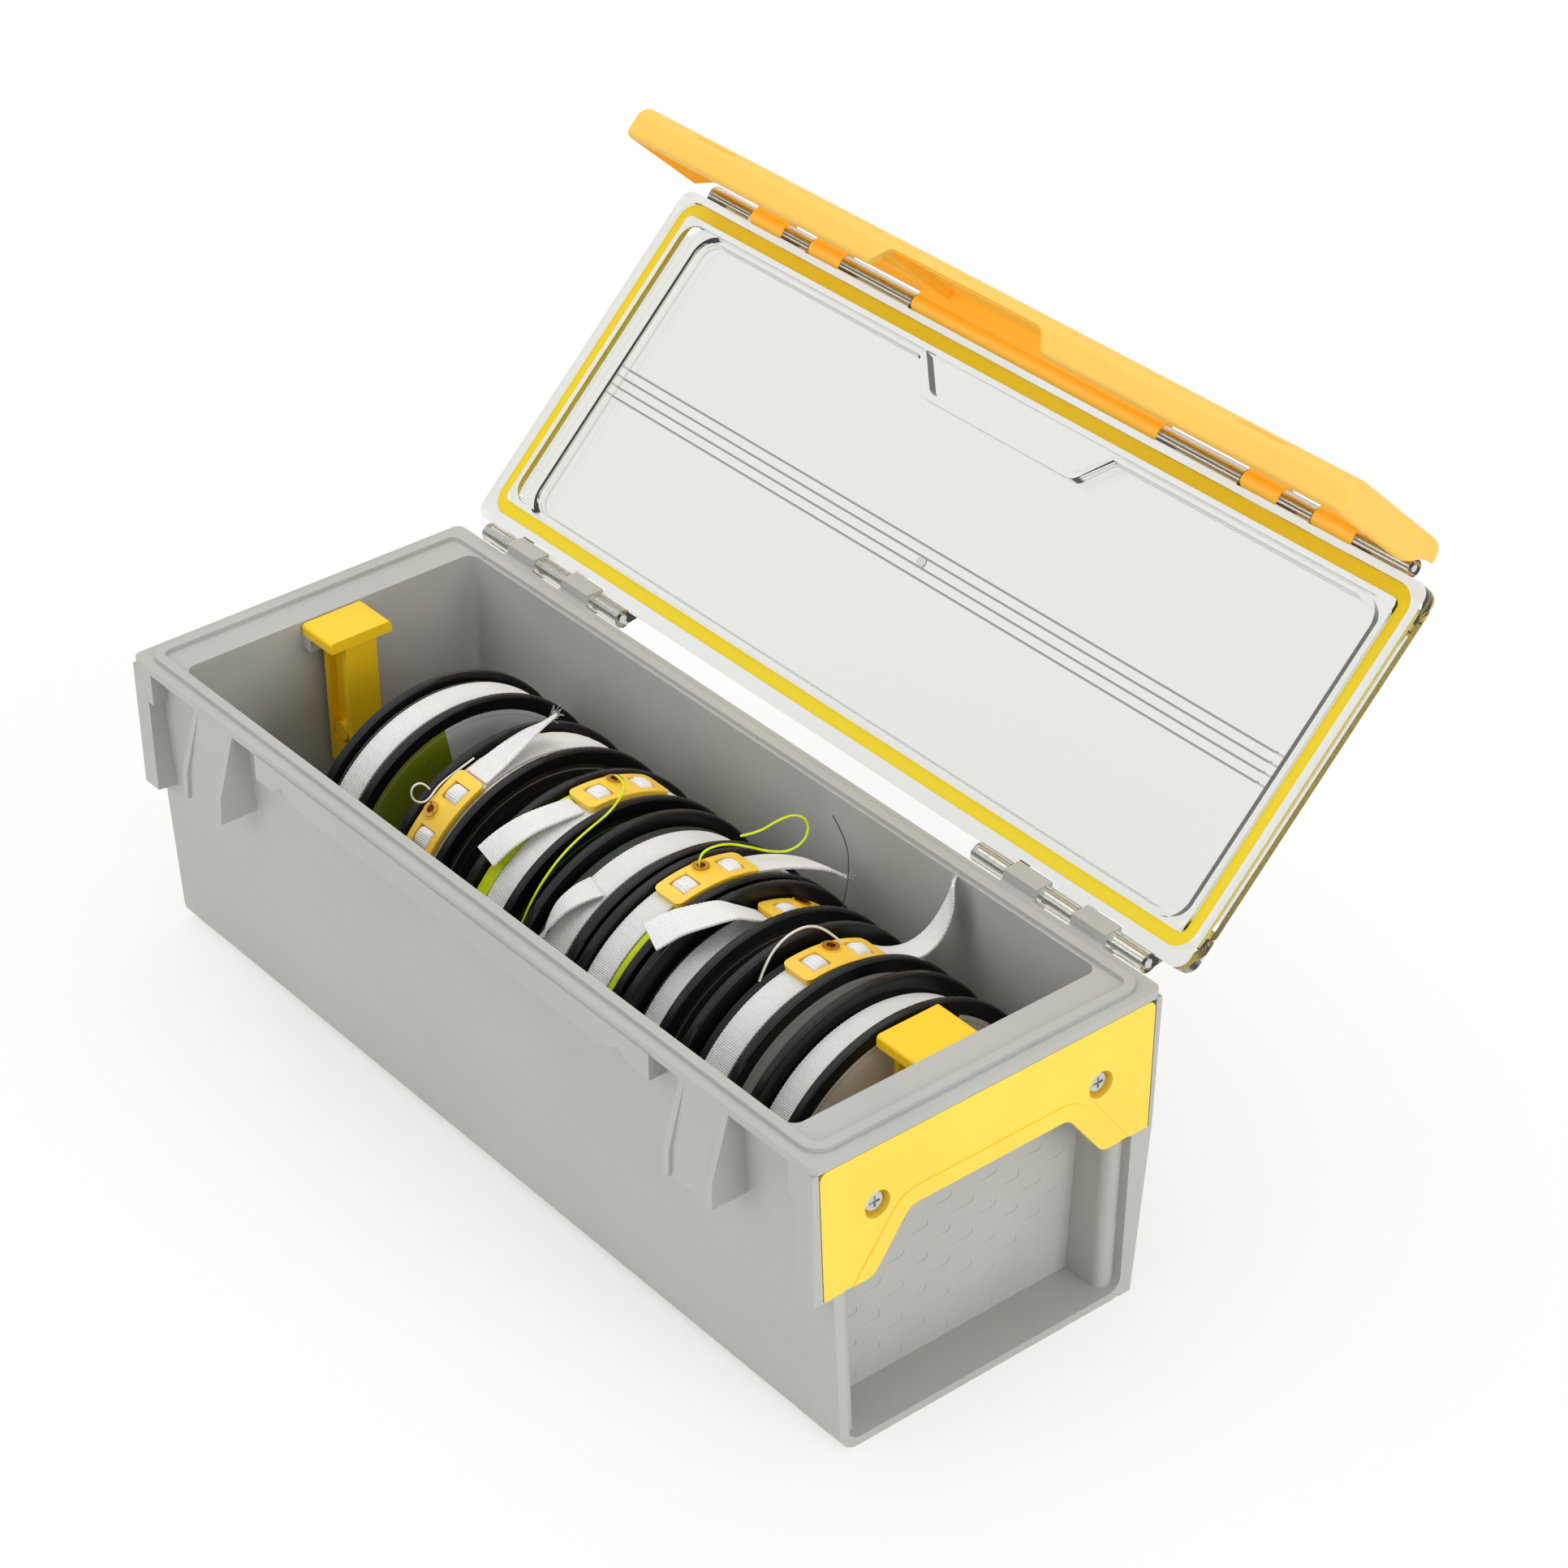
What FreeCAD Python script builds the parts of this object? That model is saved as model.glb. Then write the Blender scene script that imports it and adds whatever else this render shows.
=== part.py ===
"""Storage box for spools of fishing line, lid open, in millimetres.

+X runs along the length, -Y is the latch side, +Y the hinge side and +Z is up.
The origin is the centre of the box's flat bottom face.
"""
import FreeCAD
import Part
import math
import os

Vector = FreeCAD.Vector

# Spools, which set the size of the box around them
SPOOL_R = 53.8
SPOOL_RIM_T = 3.2
SPOOL_RIM_BAND = 4.8
SPOOL_LABEL_DEPTH = 0.8
SPOOL_EDGE_R = 1.0
SPOOL_BARREL_R = 28.0
SPOOL_HUB_R = 10.0
SPOOL_BORE_FIT = 0.06
SPOOL_FLOOR_GAP = 1.7
SPOOL_WALL_GAP = 3.0
SPOOL_RIM_DROP = 0.7

# Spools 1 to 8 from the left: gap on the right side, width, depth of the band below
# the flange edge, band width, angle of the clip on the band
SPOOL_ROWS = (
    (19.0, 22.5, 2.4, 11.0, 205.0),
    (13.5, 24.0, 2.2, 11.0, 129.0),
    (7.5, 23.5, 2.3, 10.0, 77.0),
    (1.5, 26.5, 4.2, 11.0, 200.0),
    (2.0, 21.5, 2.3, 10.0, 88.0),
    (7.5, 21.5, 7.1, 11.0, 62.0),
    (7.5, 26.0, 5.3, 11.0, 80.0),
    (2.5, 20.5, 5.6, 11.0, 210.0),
)

# Line wound on the spools
LINE_D = 0.8
LINE_PITCH = 1.3
LINE_SIDE_GAP = 0.3
LINE_CORE_GAP = 0.05
GAP_SAMPLES = 12

# Elastic bands, their clips and the brass eyelets in the clips
BAND_T = 1.0
BAND_GAP = 0.1
CLIP_LEN = 32.0
CLIP_W = 13.0
CLIP_T = 2.2
CLIP_WINDOW_LEN = 7.0
CLIP_WINDOW_W = 8.0
CLIP_WINDOW_PITCH = 17.0
EYELET_X = -3.2
EYELET_HOLE_R = 1.4
EYELET_TUBE_R = 1.9
EYELET_FLANGE_R = 2.8
EYELET_FLANGE_T = 0.5
EYELET_BOSS_R = 3.3
EYELET_BOSS_RISE = 0.4
EYELET_FIT = 0.05

# Bands that lie off their spool's middle, along X
BAND_SHIFTS = {3: 3.0, 5: -1.9}

# Free ends of the bands: offset along X from the spool's middle, angle about the axle
# and height above the band, from the clip outwards
BAND_TAILS = {
    2: ((0.0, 110.0, 0.7), (0.0, 101.0, 1.6), (0.0, 92.0, 4.0), (-0.5, 84.0, 6.6), (-1.0, 77.0, 8.6)),
    3: ((0.0, 96.0, 0.7), (-1.0, 105.0, 2.2), (-3.0, 114.0, 3.6), (-5.0, 123.0, 4.4), (-6.5, 131.0, 4.8)),
    4: ((0.0, 116.0, 0.7), (-1.5, 122.0, 2.4), (-3.0, 129.0, 3.4), (-4.0, 136.0, 2.8), (-4.5, 142.0, 2.0)),
    5: ((0.0, 69.0, 0.7), (1.0, 60.0, 2.6), (3.0, 51.0, 5.2), (5.0, 43.0, 7.6), (6.0, 35.0, 9.0)),
    6: ((0.0, 83.0, 0.7), (-0.5, 91.0, 4.8), (-2.0, 97.5, 8.4), (-5.0, 105.0, 9.6), (-9.0, 113.0, 10.4),
        (-12.0, 121.0, 10.8)),
    7: ((0.0, 60.0, 0.7), (0.0, 50.0, 1.6), (0.0, 42.0, 6.4), (0.0, 39.5, 14.0), (0.0, 41.5, 23.0),
        (0.0, 45.0, 30.0)),
}

# Share of the shorter run that each end of a bend in a loose line takes up
ARC_SHARE = 0.45

# Loose ends of line: tube diameter and the points of the route
LINE_TAILS = {
    2: (0.7, (
        (-58.6, -13.5, 108.9), (-58.6, -21.0, 106.8), (-58.2, -28.2, 104.8), (-56.2, -34.4, 101.8),
        (-55.8, -39.0, 104.2), (-55.6, -40.8, 108.0), (-54.8, -40.0, 111.6), (-53.9, -36.6, 111.8),
        (-53.4, -34.8, 108.6),
    )),
    3: (0.8, (
        (-17.2, 12.8, 111.9), (-12.0, 12.4, 112.7), (-5.5, 7.4, 113.6), (0.5, -2.6, 113.4),
        (2.5, -13.8, 112.0), (3.5, -24.3, 108.2), (3.2, -33.0, 100.4), (3.7, -40.0, 91.5),
        (3.3, -44.6, 81.5), (3.7, -46.5, 71.0),
    )),
    5: (0.8, (
        (40.11, 1.865, 111.4), (40.11, 2.0, 115.3), (40.0, 6.2, 116.7), (40.4, 13.4, 115.3),
        (41.4, 20.6, 111.4), (43.6, 27.4, 107.6), (45.8, 34.2, 105.9), (47.0, 39.8, 109.2),
        (46.0, 41.0, 114.8), (44.5, 37.1, 118.2), (43.0, 31.1, 117.6), (41.4, 24.8, 114.9),
        (40.0, 18.6, 115.6),
    )),
    6: (0.4, (
        (67.0, 35.68, 88.48), (66.2, 39.4, 97.2), (62.5, 44.2, 105.6), (58.0, 46.2, 112.2),
        (52.5, 45.7, 118.0),
    )),
    7: (0.8, (
        (95.6, 13.4, 107.6), (94.5, 8.9, 113.6), (93.8, 3.2, 117.9), (93.0, -3.2, 118.2),
        (92.4, -9.1, 115.4), (91.9, -13.4, 109.9), (91.6, -15.6, 104.4),
    )),
}

# Box
BOX_L = 360.0
FLOOR_T = 2.5
WALL_T = 3.2
WALL_DRAFT_DEG = 2.35
END_WALL_T = 2.8
END_DRAFT_DEG = 1.2
POCKET_DEPTH = 16.4
SHELF_T = 3.0
RIM_T = 3.0
RIM_OVERHANG = 5.26
RIM_CORNER_R = 3.0
FOOT_OUTER_R = 7.0
FOOT_INNER_R = 5.0
INNER_CORNER_R = 4.0
BEAD_INSET = 5.5
BEAD_W = 3.4
BEAD_H = 1.5
BEAD_CORNER_R = 5.0

# Rail along the front of the rim, with a small notch near each end
RAIL_HALF = 105.0
RAIL_PROUD = 0.6
RAIL_DROP = 2.5
RAIL_H = 9.5
RAIL_NOTCH_X = 90.0
RAIL_NOTCH_HALF = 6.0
RAIL_NOTCH_H = 4.0

# Posts at the four corners, which hold the handle plates
POST_W = 8.0
POST_HEAD_W = 11.0
POST_HEAD_H = 15.0
POST_FOOT_SLOPE = 1.5
BACK_POST_SPREAD = 1.4
BACK_POST_KNEE_IN = 2.1
COLUMN_W = 8.0
COLUMN_OUT = 3.0
COLUMN_LAP = 2.2

# Handle plates screwed into both ends
PLATE_T = 4.0
PLATE_DROP = 50.5
PLATE_SIDE_LIP = 2.2
PLATE_FIT = 0.4
PLATE_LEAN = 1.3
PLATE_CORNER_R = 3.0
ARCH_DROP = 31.5
ARCH_TOP_HALF = 31.0
ARCH_FOOT_HALF = 45.0
ARCH_R = 6.0
PLATE_FOOT_R = 5.0
TROUGH_IN = 6.0
TROUGH_W = 3.0
TROUGH_DEPTH = 0.3
SCREW_Y = 43.5
SCREW_DROP = 24.5
SCREW_R = 1.75
SCREW_FIT = 0.1
SCREW_HEAD_R = 3.8
SCREW_HEAD_H = 1.9
SCREW_CROSS_L = 4.0
SCREW_CROSS_W = 0.9
SCREW_CROSS_D = 1.0
SCREW_END_GAP = 0.6
COUNTERBORE_R = 4.75
COUNTERBORE_DEPTH = 3.3
BOSS_R = 6.0
BOSS_SPLIT = 13.0

# Buttresses that the latch hooks under
BUTTRESS_INSET = 49.5
BUTTRESS_W = 23.0
BUTTRESS_RIB_W = 2.5
BUTTRESS_RIB_H = 1.2
BUTTRESS_OUT = 7.1
BUTTRESS_KNEE_DROP = 24.5
BUTTRESS_KNEE_IN = 0.6
BUTTRESS_DROP = 34.5

# Lid hinge: five knuckles at each end, the odd ones on the lid
HINGE_OUT = 4.9
HINGE_RISE = 0.2
HINGE_PIN_R = 1.5
KNUCKLE_R = 3.4
KNUCKLE_PITCH = 15.5
KNUCKLE_COUNT = 5
KNUCKLE_GAP = 0.3
KNUCKLE_INSET = 11.35
KNUCKLE_ROOT_H = 6.0
PIN_FIT = 0.03
PIN_RUN_FIT = 0.06
HINGE_CLEAR = 0.4

# Lid
LID_OPEN_DEG = 135.6
LID_GAP = 0.5
LID_FRONT_IN = 0.3
LID_REAR_R = 3.0
LID_CORNER_R = 5.0
LID_FLANGE_H = 6.0
LID_PLATE_T = 2.5
LID_CHANNEL_LIP = 2.1
DOME_INSET = 17.5
DOME_FRONT_IN = 2.0
DOME_REAR_IN = 0.6
DOME_RISE = 4.2
DOME_WALL_T = 2.5
DOME_DRAFT = 0.8
DOME_CORNER_R = 7.0
RECESS_FRONT_HALF = 48.0
RECESS_BACK_HALF = 35.0
RECESS_DEPTH = 12.0
LID_LINE_COUNT = 4
LID_LINE_PITCH = 3.6
LID_LINE_Y = 3.4
LID_LINE_W = 0.6
GATE_R = 2.0
GATE_H = 0.4

# Gasket in the lid's channel
GASKET_W = 4.8
GASKET_H = 2.2
GASKET_BEAD_GAP = 0.3
GASKET_FIT = 0.1

# Latch and its pin
LATCH_INSET = 8.5
LATCH_WALL_T = 2.2
LATCH_OUT = 13.9
LATCH_FOOT_IN = 1.5
LATCH_TOP = 0.7
LATCH_TOP_REACH = 6.6
LATCH_BOTTOM = 53.8
LATCH_SIDE_DROP = 15.0
LATCH_FOLD_R = 5.0
LATCH_AXIS_OUT = 3.0
LATCH_AXIS_RISE = 2.6
LATCH_PIN_R = 1.2
LATCH_BARREL_R = 3.0
LATCH_KNUCKLE_GAP = 0.3
LATCH_ARM_T = 4.0
LATCH_STEPS = (83.0, 66.0, 52.0, 34.0, 11.2)
LATCH_FIRST_BARREL_L = 37.0
LATCH_RIB_INSETS = (67.5, 95.0, 132.0)
LATCH_RIB_T = 1.6
LATCH_RIB_D = 4.5
NOTCH_HALF = 43.0
NOTCH_BACK_HALF = 36.0
NOTCH_DEPTH = 8.0
HOOK_REACH = 8.4
HOOK_H = 10.0
HOOK_GAP = 2.0
HOOK_SIDE_GAP = 2.0
HOOK_TIP_R = 1.0

# Rack: the axle and the two brackets that hang it from the end walls
AXLE_R = 6.0
AXLE_STUB_R = 3.0
AXLE_STUB_FIT = 0.05
AXLE_END_GAP = 0.1
BRACKET_END_GAP = 2.1
BRACKET_BODY_L = 14.0
BRACKET_BODY_HALF = 6.3
BRACKET_PLATE_HALF = 12.4
BRACKET_PLATE_LAP = 1.0
BRACKET_PLATE_T = 4.2
BRACKET_TOP_DROP = 0.5
BRACKET_WALL_GAP = 0.4
BRACKET_EDGE_R = 1.5
BRACKET_GROOVE_W = 9.4
BRACKET_GROOVE_D = 3.0
BRACKET_GROOVE_END = 5.0
BRACKET_BOSS_R = 3.5
BRACKET_BOSS_RISE = 13.0
PAD_L = 5.0
PAD_H = 5.0
PAD_SIDE_GAP = 0.6

# Sizes worked out from the values above
BOX_HALF = BOX_L / 2
AXLE_Z = FLOOR_T + SPOOL_FLOOR_GAP + SPOOL_R
RIM_Z = AXLE_Z + SPOOL_R + SPOOL_RIM_DROP
RIM_UNDER_Z = RIM_Z - RIM_T
WALL_SLOPE = math.tan(math.radians(WALL_DRAFT_DEG))
END_SLOPE = math.tan(math.radians(END_DRAFT_DEG))


def wall_inner(z):
    """Half width between the long walls at height z."""
    return SPOOL_R + SPOOL_WALL_GAP + (z - AXLE_Z) * WALL_SLOPE


def wall_outer(z):
    return wall_inner(z) + WALL_T


def end_outer(z):
    """Distance of an end wall's outer face from the middle at height z."""
    return BOX_HALF - POCKET_DEPTH - (RIM_Z - z) * END_SLOPE


def end_inner(z):
    return end_outer(z) - END_WALL_T


RIM_HALF = wall_outer(RIM_Z) + RIM_OVERHANG
PLATE_TOP_Z = RIM_UNDER_Z
PLATE_BOTTOM_Z = RIM_Z - PLATE_DROP
SEAT_X = BOX_HALF - PLATE_T
SCREW_Z = RIM_Z - SCREW_DROP
BOSS_X = BOX_HALF - BOSS_SPLIT
BUTTRESS_X = BOX_HALF - BUTTRESS_INSET
BUTTRESS_Z = RIM_Z - BUTTRESS_DROP
HINGE_Y = RIM_HALF + HINGE_OUT
HINGE_Z = RIM_Z + HINGE_RISE
LIP_Z = RIM_Z + LID_GAP
FLANGE_TOP_Z = LIP_Z + LID_FLANGE_H
CHANNEL_Z = RIM_Z + BEAD_H + GASKET_BEAD_GAP + GASKET_H
LID_FRONT_Y = -(RIM_HALF - LID_FRONT_IN)
LID_REAR_Y = HINGE_Y - LID_REAR_R
BEAD_X = BOX_HALF - BEAD_INSET
BEAD_Y = RIM_HALF - BEAD_INSET
LIP_IN_X = BEAD_X - GASKET_W / 2 - LID_CHANNEL_LIP
LIP_IN_Y = BEAD_Y - GASKET_W / 2 - LID_CHANNEL_LIP
DOME_X = BOX_HALF - DOME_INSET
DOME_FRONT_Y = -(LIP_IN_Y - DOME_FRONT_IN)
DOME_REAR_Y = LIP_IN_Y - DOME_REAR_IN
DOME_TOP_Z = FLANGE_TOP_Z + DOME_RISE
DOME_ROOF_Z = DOME_TOP_Z - DOME_WALL_T
LATCH_HALF = BOX_HALF - LATCH_INSET
LATCH_AXIS_Y = LID_FRONT_Y - LATCH_AXIS_OUT
LATCH_AXIS_Z = LIP_Z + LATCH_AXIS_RISE
LATCH_FACE_Y = LID_FRONT_Y - LATCH_OUT
LATCH_TOP_Z = FLANGE_TOP_Z + LATCH_TOP
LATCH_FOOT_Z = FLANGE_TOP_Z - LATCH_BOTTOM
BRACKET_TOP_Z = RIM_Z - BRACKET_TOP_DROP
BRACKET_SEAT_Z = BRACKET_TOP_Z - BRACKET_PLATE_T
BRACKET_OUT_X = end_inner(AXLE_Z) - BRACKET_END_GAP
BRACKET_IN_X = BRACKET_OUT_X - BRACKET_BODY_L
BRACKET_PLATE_IN_X = BRACKET_IN_X - BRACKET_PLATE_LAP

SIDES = (("left", -1), ("right", 1))


def yz(x):
    """Places outline points (u, v) in the plane at x, as y and z."""
    return lambda u, v: Vector(x, u, v)


def xz(y):
    return lambda u, v: Vector(u, y, v)


def xy(z):
    return lambda u, v: Vector(u, v, z)


def outline(corners, place):
    """Closed wire through corners (u, v) or (u, v, radius), rounded where a radius is given."""
    spots = [Vector(corner[0], corner[1], 0) for corner in corners]
    stretches = []
    for i, corner in enumerate(corners):
        spot = spots[i]
        radius = corner[2] if len(corner) > 2 else 0
        if radius == 0:
            stretches.append((spot, None, spot))
            continue
        back = (spots[i - 1] - spot).normalize()
        ahead = (spots[(i + 1) % len(spots)] - spot).normalize()
        half = back.getAngle(ahead) / 2
        middle = (back + ahead).normalize()
        setback = radius / math.tan(half)
        crown = spot + middle * (radius / math.sin(half) - radius)
        stretches.append((spot + back * setback, crown, spot + ahead * setback))
    edges = []
    for i, (start, crown, end) in enumerate(stretches):
        if crown is not None:
            edges.append(Part.Arc(place(*start[:2]), place(*crown[:2]), place(*end[:2])).toShape())
        following = stretches[(i + 1) % len(stretches)][0]
        if end.distanceToPoint(following) > 1e-7:
            edges.append(Part.LineSegment(place(*end[:2]), place(*following[:2])).toShape())
    return Part.Wire(edges)


def prism_x(corners, x0, x1):
    return Part.Face(outline(corners, yz(x0))).extrude(Vector(x1 - x0, 0, 0))


def prism_y(corners, y0, y1):
    return Part.Face(outline(corners, xz(y0))).extrude(Vector(0, y1 - y0, 0))


def prism_z(corners, z0, z1):
    return Part.Face(outline(corners, xy(z0))).extrude(Vector(0, 0, z1 - z0))


def block(x0, x1, y0, y1, z0, z1):
    return Part.makeBox(x1 - x0, y1 - y0, z1 - z0, Vector(x0, y0, z0))


def rod(x0, x1, y, z, radius):
    """Cylinder along X."""
    return Part.makeCylinder(radius, x1 - x0, Vector(x0, y, z), Vector(1, 0, 0))


def rect(x0, x1, y0, y1, radius):
    """Corners of a rectangle with equal round corners."""
    return ((x0, y0, radius), (x1, y0, radius), (x1, y1, radius), (x0, y1, radius))


def ring(half_x, half_y, width, corner_r, z0, z1):
    """Rectangular ring on the given centreline, with a round bend at each corner."""
    outer = rect(-half_x - width / 2, half_x + width / 2, -half_y - width / 2, half_y + width / 2,
                 corner_r + width / 2)
    inner = rect(-half_x + width / 2, half_x - width / 2, -half_y + width / 2, half_y - width / 2,
                 corner_r - width / 2)
    return prism_z(outer, z0, z1).cut(prism_z(inner, z0, z1))


def mirrored_x(shape):
    return shape.mirror(Vector(0, 0, 0), Vector(1, 0, 0))


def to_side(shape, sign):
    """A shape made for the right end, or its mirror image for the left end."""
    return shape if sign > 0 else mirrored_x(shape)


def fused(shapes):
    return shapes[0].fuse(shapes[1:]).removeSplitter()


def opened(shape):
    """Turns a piece drawn with the lid closed to the open lid's place."""
    turned = shape.copy()
    turned.rotate(Vector(0, HINGE_Y, HINGE_Z), Vector(1, 0, 0), -LID_OPEN_DEG)
    return turned


def knuckle_spans(on_lid):
    """X ranges of the right-hand hinge knuckles on the lid, or of those on the box."""
    spans = []
    for i in range(KNUCKLE_COUNT):
        if (i % 2 == 0) == on_lid:
            outer = BOX_HALF - KNUCKLE_INSET - KNUCKLE_PITCH * i
            spans.append((outer - KNUCKLE_PITCH + KNUCKLE_GAP / 2, outer - KNUCKLE_GAP / 2))
    return spans


def latch_spans(on_lid):
    """X ranges of the latch hinge's barrels on the lid, or of those on the latch."""
    edges = [BOX_HALF - inset for inset in LATCH_STEPS]
    start = edges[0] - LATCH_FIRST_BARREL_L
    if on_lid:
        spans = [(start, edges[0]), (-edges[0], -start)]
    else:
        spans = [(LATCH_KNUCKLE_GAP - start, start - LATCH_KNUCKLE_GAP)]
    for i in range(len(edges) - 1):
        if (i % 2 == 1) == on_lid:
            low, high = edges[i], edges[i + 1]
            if not on_lid:
                low, high = low + LATCH_KNUCKLE_GAP, high - LATCH_KNUCKLE_GAP
            spans += [(low, high), (-high, -low)]
    return spans


# Box body

def box_shell():
    """Tapered trough with its rim, open at the top, and a handle pocket in each end."""
    foot = wall_outer(0)
    shoulder = wall_outer(RIM_UNDER_Z)
    trough = prism_x(((-foot, 0, FOOT_OUTER_R), (foot, 0, FOOT_OUTER_R),
                      (shoulder, RIM_UNDER_Z), (-shoulder, RIM_UNDER_Z)), -BOX_HALF, BOX_HALF)
    rim = prism_z(rect(-BOX_HALF, BOX_HALF, -RIM_HALF, RIM_HALF, RIM_CORNER_R), RIM_UNDER_Z, RIM_Z)
    bead = ring(BEAD_X, BEAD_Y, BEAD_W, BEAD_CORNER_R, RIM_Z, RIM_Z + BEAD_H)
    return fused([trough, rim, bead])


def box_cavity():
    top = RIM_Z + BEAD_H
    foot = wall_inner(FLOOR_T)
    side = prism_x(((-foot, FLOOR_T, FOOT_INNER_R), (foot, FLOOR_T, FOOT_INNER_R),
                    (wall_inner(top), top), (-wall_inner(top), top)), -BOX_HALF, BOX_HALF)
    length = prism_y(((-end_inner(FLOOR_T), FLOOR_T), (end_inner(FLOOR_T), FLOOR_T),
                      (end_inner(top), top), (-end_inner(top), top)), -RIM_HALF, RIM_HALF)
    cavity = side.common(length)
    upright = [edge for edge in cavity.Edges if edge.BoundBox.ZLength > top / 2]
    return cavity.makeFillet(INNER_CORNER_R, upright)


def end_pocket():
    """Hollow in the right end, behind the handle plate."""
    top = RIM_UNDER_Z
    foot = wall_inner(SHELF_T)
    side = prism_x(((-foot, SHELF_T, FOOT_INNER_R), (foot, SHELF_T, FOOT_INNER_R),
                    (wall_inner(top), top), (-wall_inner(top), top)), 0, BOX_HALF)
    length = prism_y(((end_outer(SHELF_T), SHELF_T), (BOX_HALF, SHELF_T),
                      (BOX_HALF, top), (end_outer(top), top)), -RIM_HALF, RIM_HALF)
    return side.common(length)


def pocket_columns():
    """Round-nosed columns in the corners of the right pocket, leaning with the walls."""
    nose_x = SEAT_X - COLUMN_OUT
    wires = []
    for z in (SHELF_T, RIM_UNDER_Z):
        inner = wall_inner(z) - COLUMN_W + COLUMN_LAP
        outer = inner + COLUMN_W
        root_x = end_outer(z) - END_WALL_T / 2
        middle = (inner + outer) / 2
        wires.append(Part.Wire([
            Part.LineSegment(Vector(root_x, inner, z), Vector(nose_x, inner, z)).toShape(),
            Part.Arc(Vector(nose_x, inner, z), Vector(nose_x + COLUMN_W / 2, middle, z),
                     Vector(nose_x, outer, z)).toShape(),
            Part.LineSegment(Vector(nose_x, outer, z), Vector(root_x, outer, z)).toShape(),
            Part.LineSegment(Vector(root_x, outer, z), Vector(root_x, inner, z)).toShape()]))
    back = Part.makeLoft(wires, True, True)
    return [back, back.mirror(Vector(0, 0, 0), Vector(0, 1, 0))]


def corner_posts():
    """Front and back posts at the right end."""
    inside = wall_inner(PLATE_BOTTOM_Z)
    low = PLATE_BOTTOM_Z - POST_FOOT_SLOPE
    front = prism_x(((-RIM_HALF, PLATE_BOTTOM_Z), (-RIM_HALF, RIM_UNDER_Z), (-inside, RIM_UNDER_Z),
                     (-inside, low)), BOX_HALF - POST_W, BOX_HALF)
    head = prism_x(((-RIM_HALF, RIM_Z - POST_HEAD_H), (-RIM_HALF, RIM_UNDER_Z), (-inside, RIM_UNDER_Z),
                    (-inside, RIM_Z - POST_HEAD_H)), BOX_HALF - POST_HEAD_W, BOX_HALF)
    foot = wall_outer(0) + BACK_POST_SPREAD
    back = prism_x(((wall_inner(0), 0), (foot, 0), (RIM_HALF - BACK_POST_KNEE_IN, PLATE_BOTTOM_Z),
                    (RIM_HALF, RIM_UNDER_Z), (inside, RIM_UNDER_Z), (inside, PLATE_BOTTOM_Z)),
                   BOX_HALF - POST_W, BOX_HALF)
    return [front, head, back]


def plate_seat():
    """Space for the right handle plate, cut into the posts and walls."""
    half_top = RIM_HALF - PLATE_SIDE_LIP
    half_foot = half_top - PLATE_LEAN
    return prism_x(((-half_foot, PLATE_BOTTOM_Z), (half_foot, PLATE_BOTTOM_Z),
                    (half_top, PLATE_TOP_Z), (-half_top, PLATE_TOP_Z)), SEAT_X, BOX_HALF)


def screw_bosses():
    root_x = end_outer(SCREW_Z) - END_WALL_T / 2
    return [rod(root_x, BOSS_X, y, SCREW_Z, BOSS_R) for y in (-SCREW_Y, SCREW_Y)]


def screw_holes():
    return [rod(end_outer(SCREW_Z), BOX_HALF, y, SCREW_Z, SCREW_R + SCREW_FIT) for y in (-SCREW_Y, SCREW_Y)]


def front_rail():
    face = -(RIM_HALF + RAIL_PROUD)
    top = RIM_Z - RAIL_DROP
    rail = block(-RAIL_HALF, RAIL_HALF, face, -wall_inner(top - RAIL_H), top - RAIL_H, top)
    for middle in (-RAIL_NOTCH_X, RAIL_NOTCH_X):
        notch = prism_y(((middle - RAIL_NOTCH_HALF, top - RAIL_H), (middle + RAIL_NOTCH_HALF, top - RAIL_H),
                         (middle, top - RAIL_H + RAIL_NOTCH_H)), face, -wall_outer(top))
        rail = rail.cut(notch)
    return rail


def buttress():
    """Wedge under the rim at the right, with a rib down each side."""
    inside = -wall_inner(BUTTRESS_Z)
    knee_z = RIM_Z - BUTTRESS_KNEE_DROP

    def wedge(x0, x1, out):
        return prism_x(((inside, BUTTRESS_Z), (-RIM_HALF - out, BUTTRESS_Z),
                        (-RIM_HALF - out + BUTTRESS_KNEE_IN, knee_z),
                        (-RIM_HALF, RIM_UNDER_Z), (inside, RIM_UNDER_Z)), x0, x1)

    low, high = BUTTRESS_X - BUTTRESS_W / 2, BUTTRESS_X + BUTTRESS_W / 2
    return [wedge(low, high, BUTTRESS_OUT - BUTTRESS_RIB_H),
            wedge(low, low + BUTTRESS_RIB_W, BUTTRESS_OUT),
            wedge(high - BUTTRESS_RIB_W, high, BUTTRESS_OUT)]


def box_knuckles():
    """Square knuckles of the right hinge that stand on the rim's back edge."""
    knuckles = []
    for low, high in knuckle_spans(on_lid=False):
        root = block(low, high, wall_inner(RIM_UNDER_Z), HINGE_Y, RIM_Z - KNUCKLE_ROOT_H, RIM_Z)
        eye = block(low, high, HINGE_Y - KNUCKLE_R, HINGE_Y + KNUCKLE_R,
                    HINGE_Z - KNUCKLE_R, HINGE_Z + KNUCKLE_R)
        knuckles += [root, eye]
    return knuckles


def rack_rest():
    """Two pads against the right end wall, which the bracket's ears rest on."""
    x0 = end_inner(BRACKET_SEAT_Z) - PAD_L
    y0 = BRACKET_BODY_HALF + PAD_SIDE_GAP
    room = block(x0, BOX_HALF, y0, BRACKET_PLATE_HALF, BRACKET_SEAT_Z - PAD_H, BRACKET_SEAT_Z)
    back = room.common(box_cavity()).Solids[0]
    return Part.makeCompound([back, back.mirror(Vector(0, 0, 0), Vector(0, 1, 0))])


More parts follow.
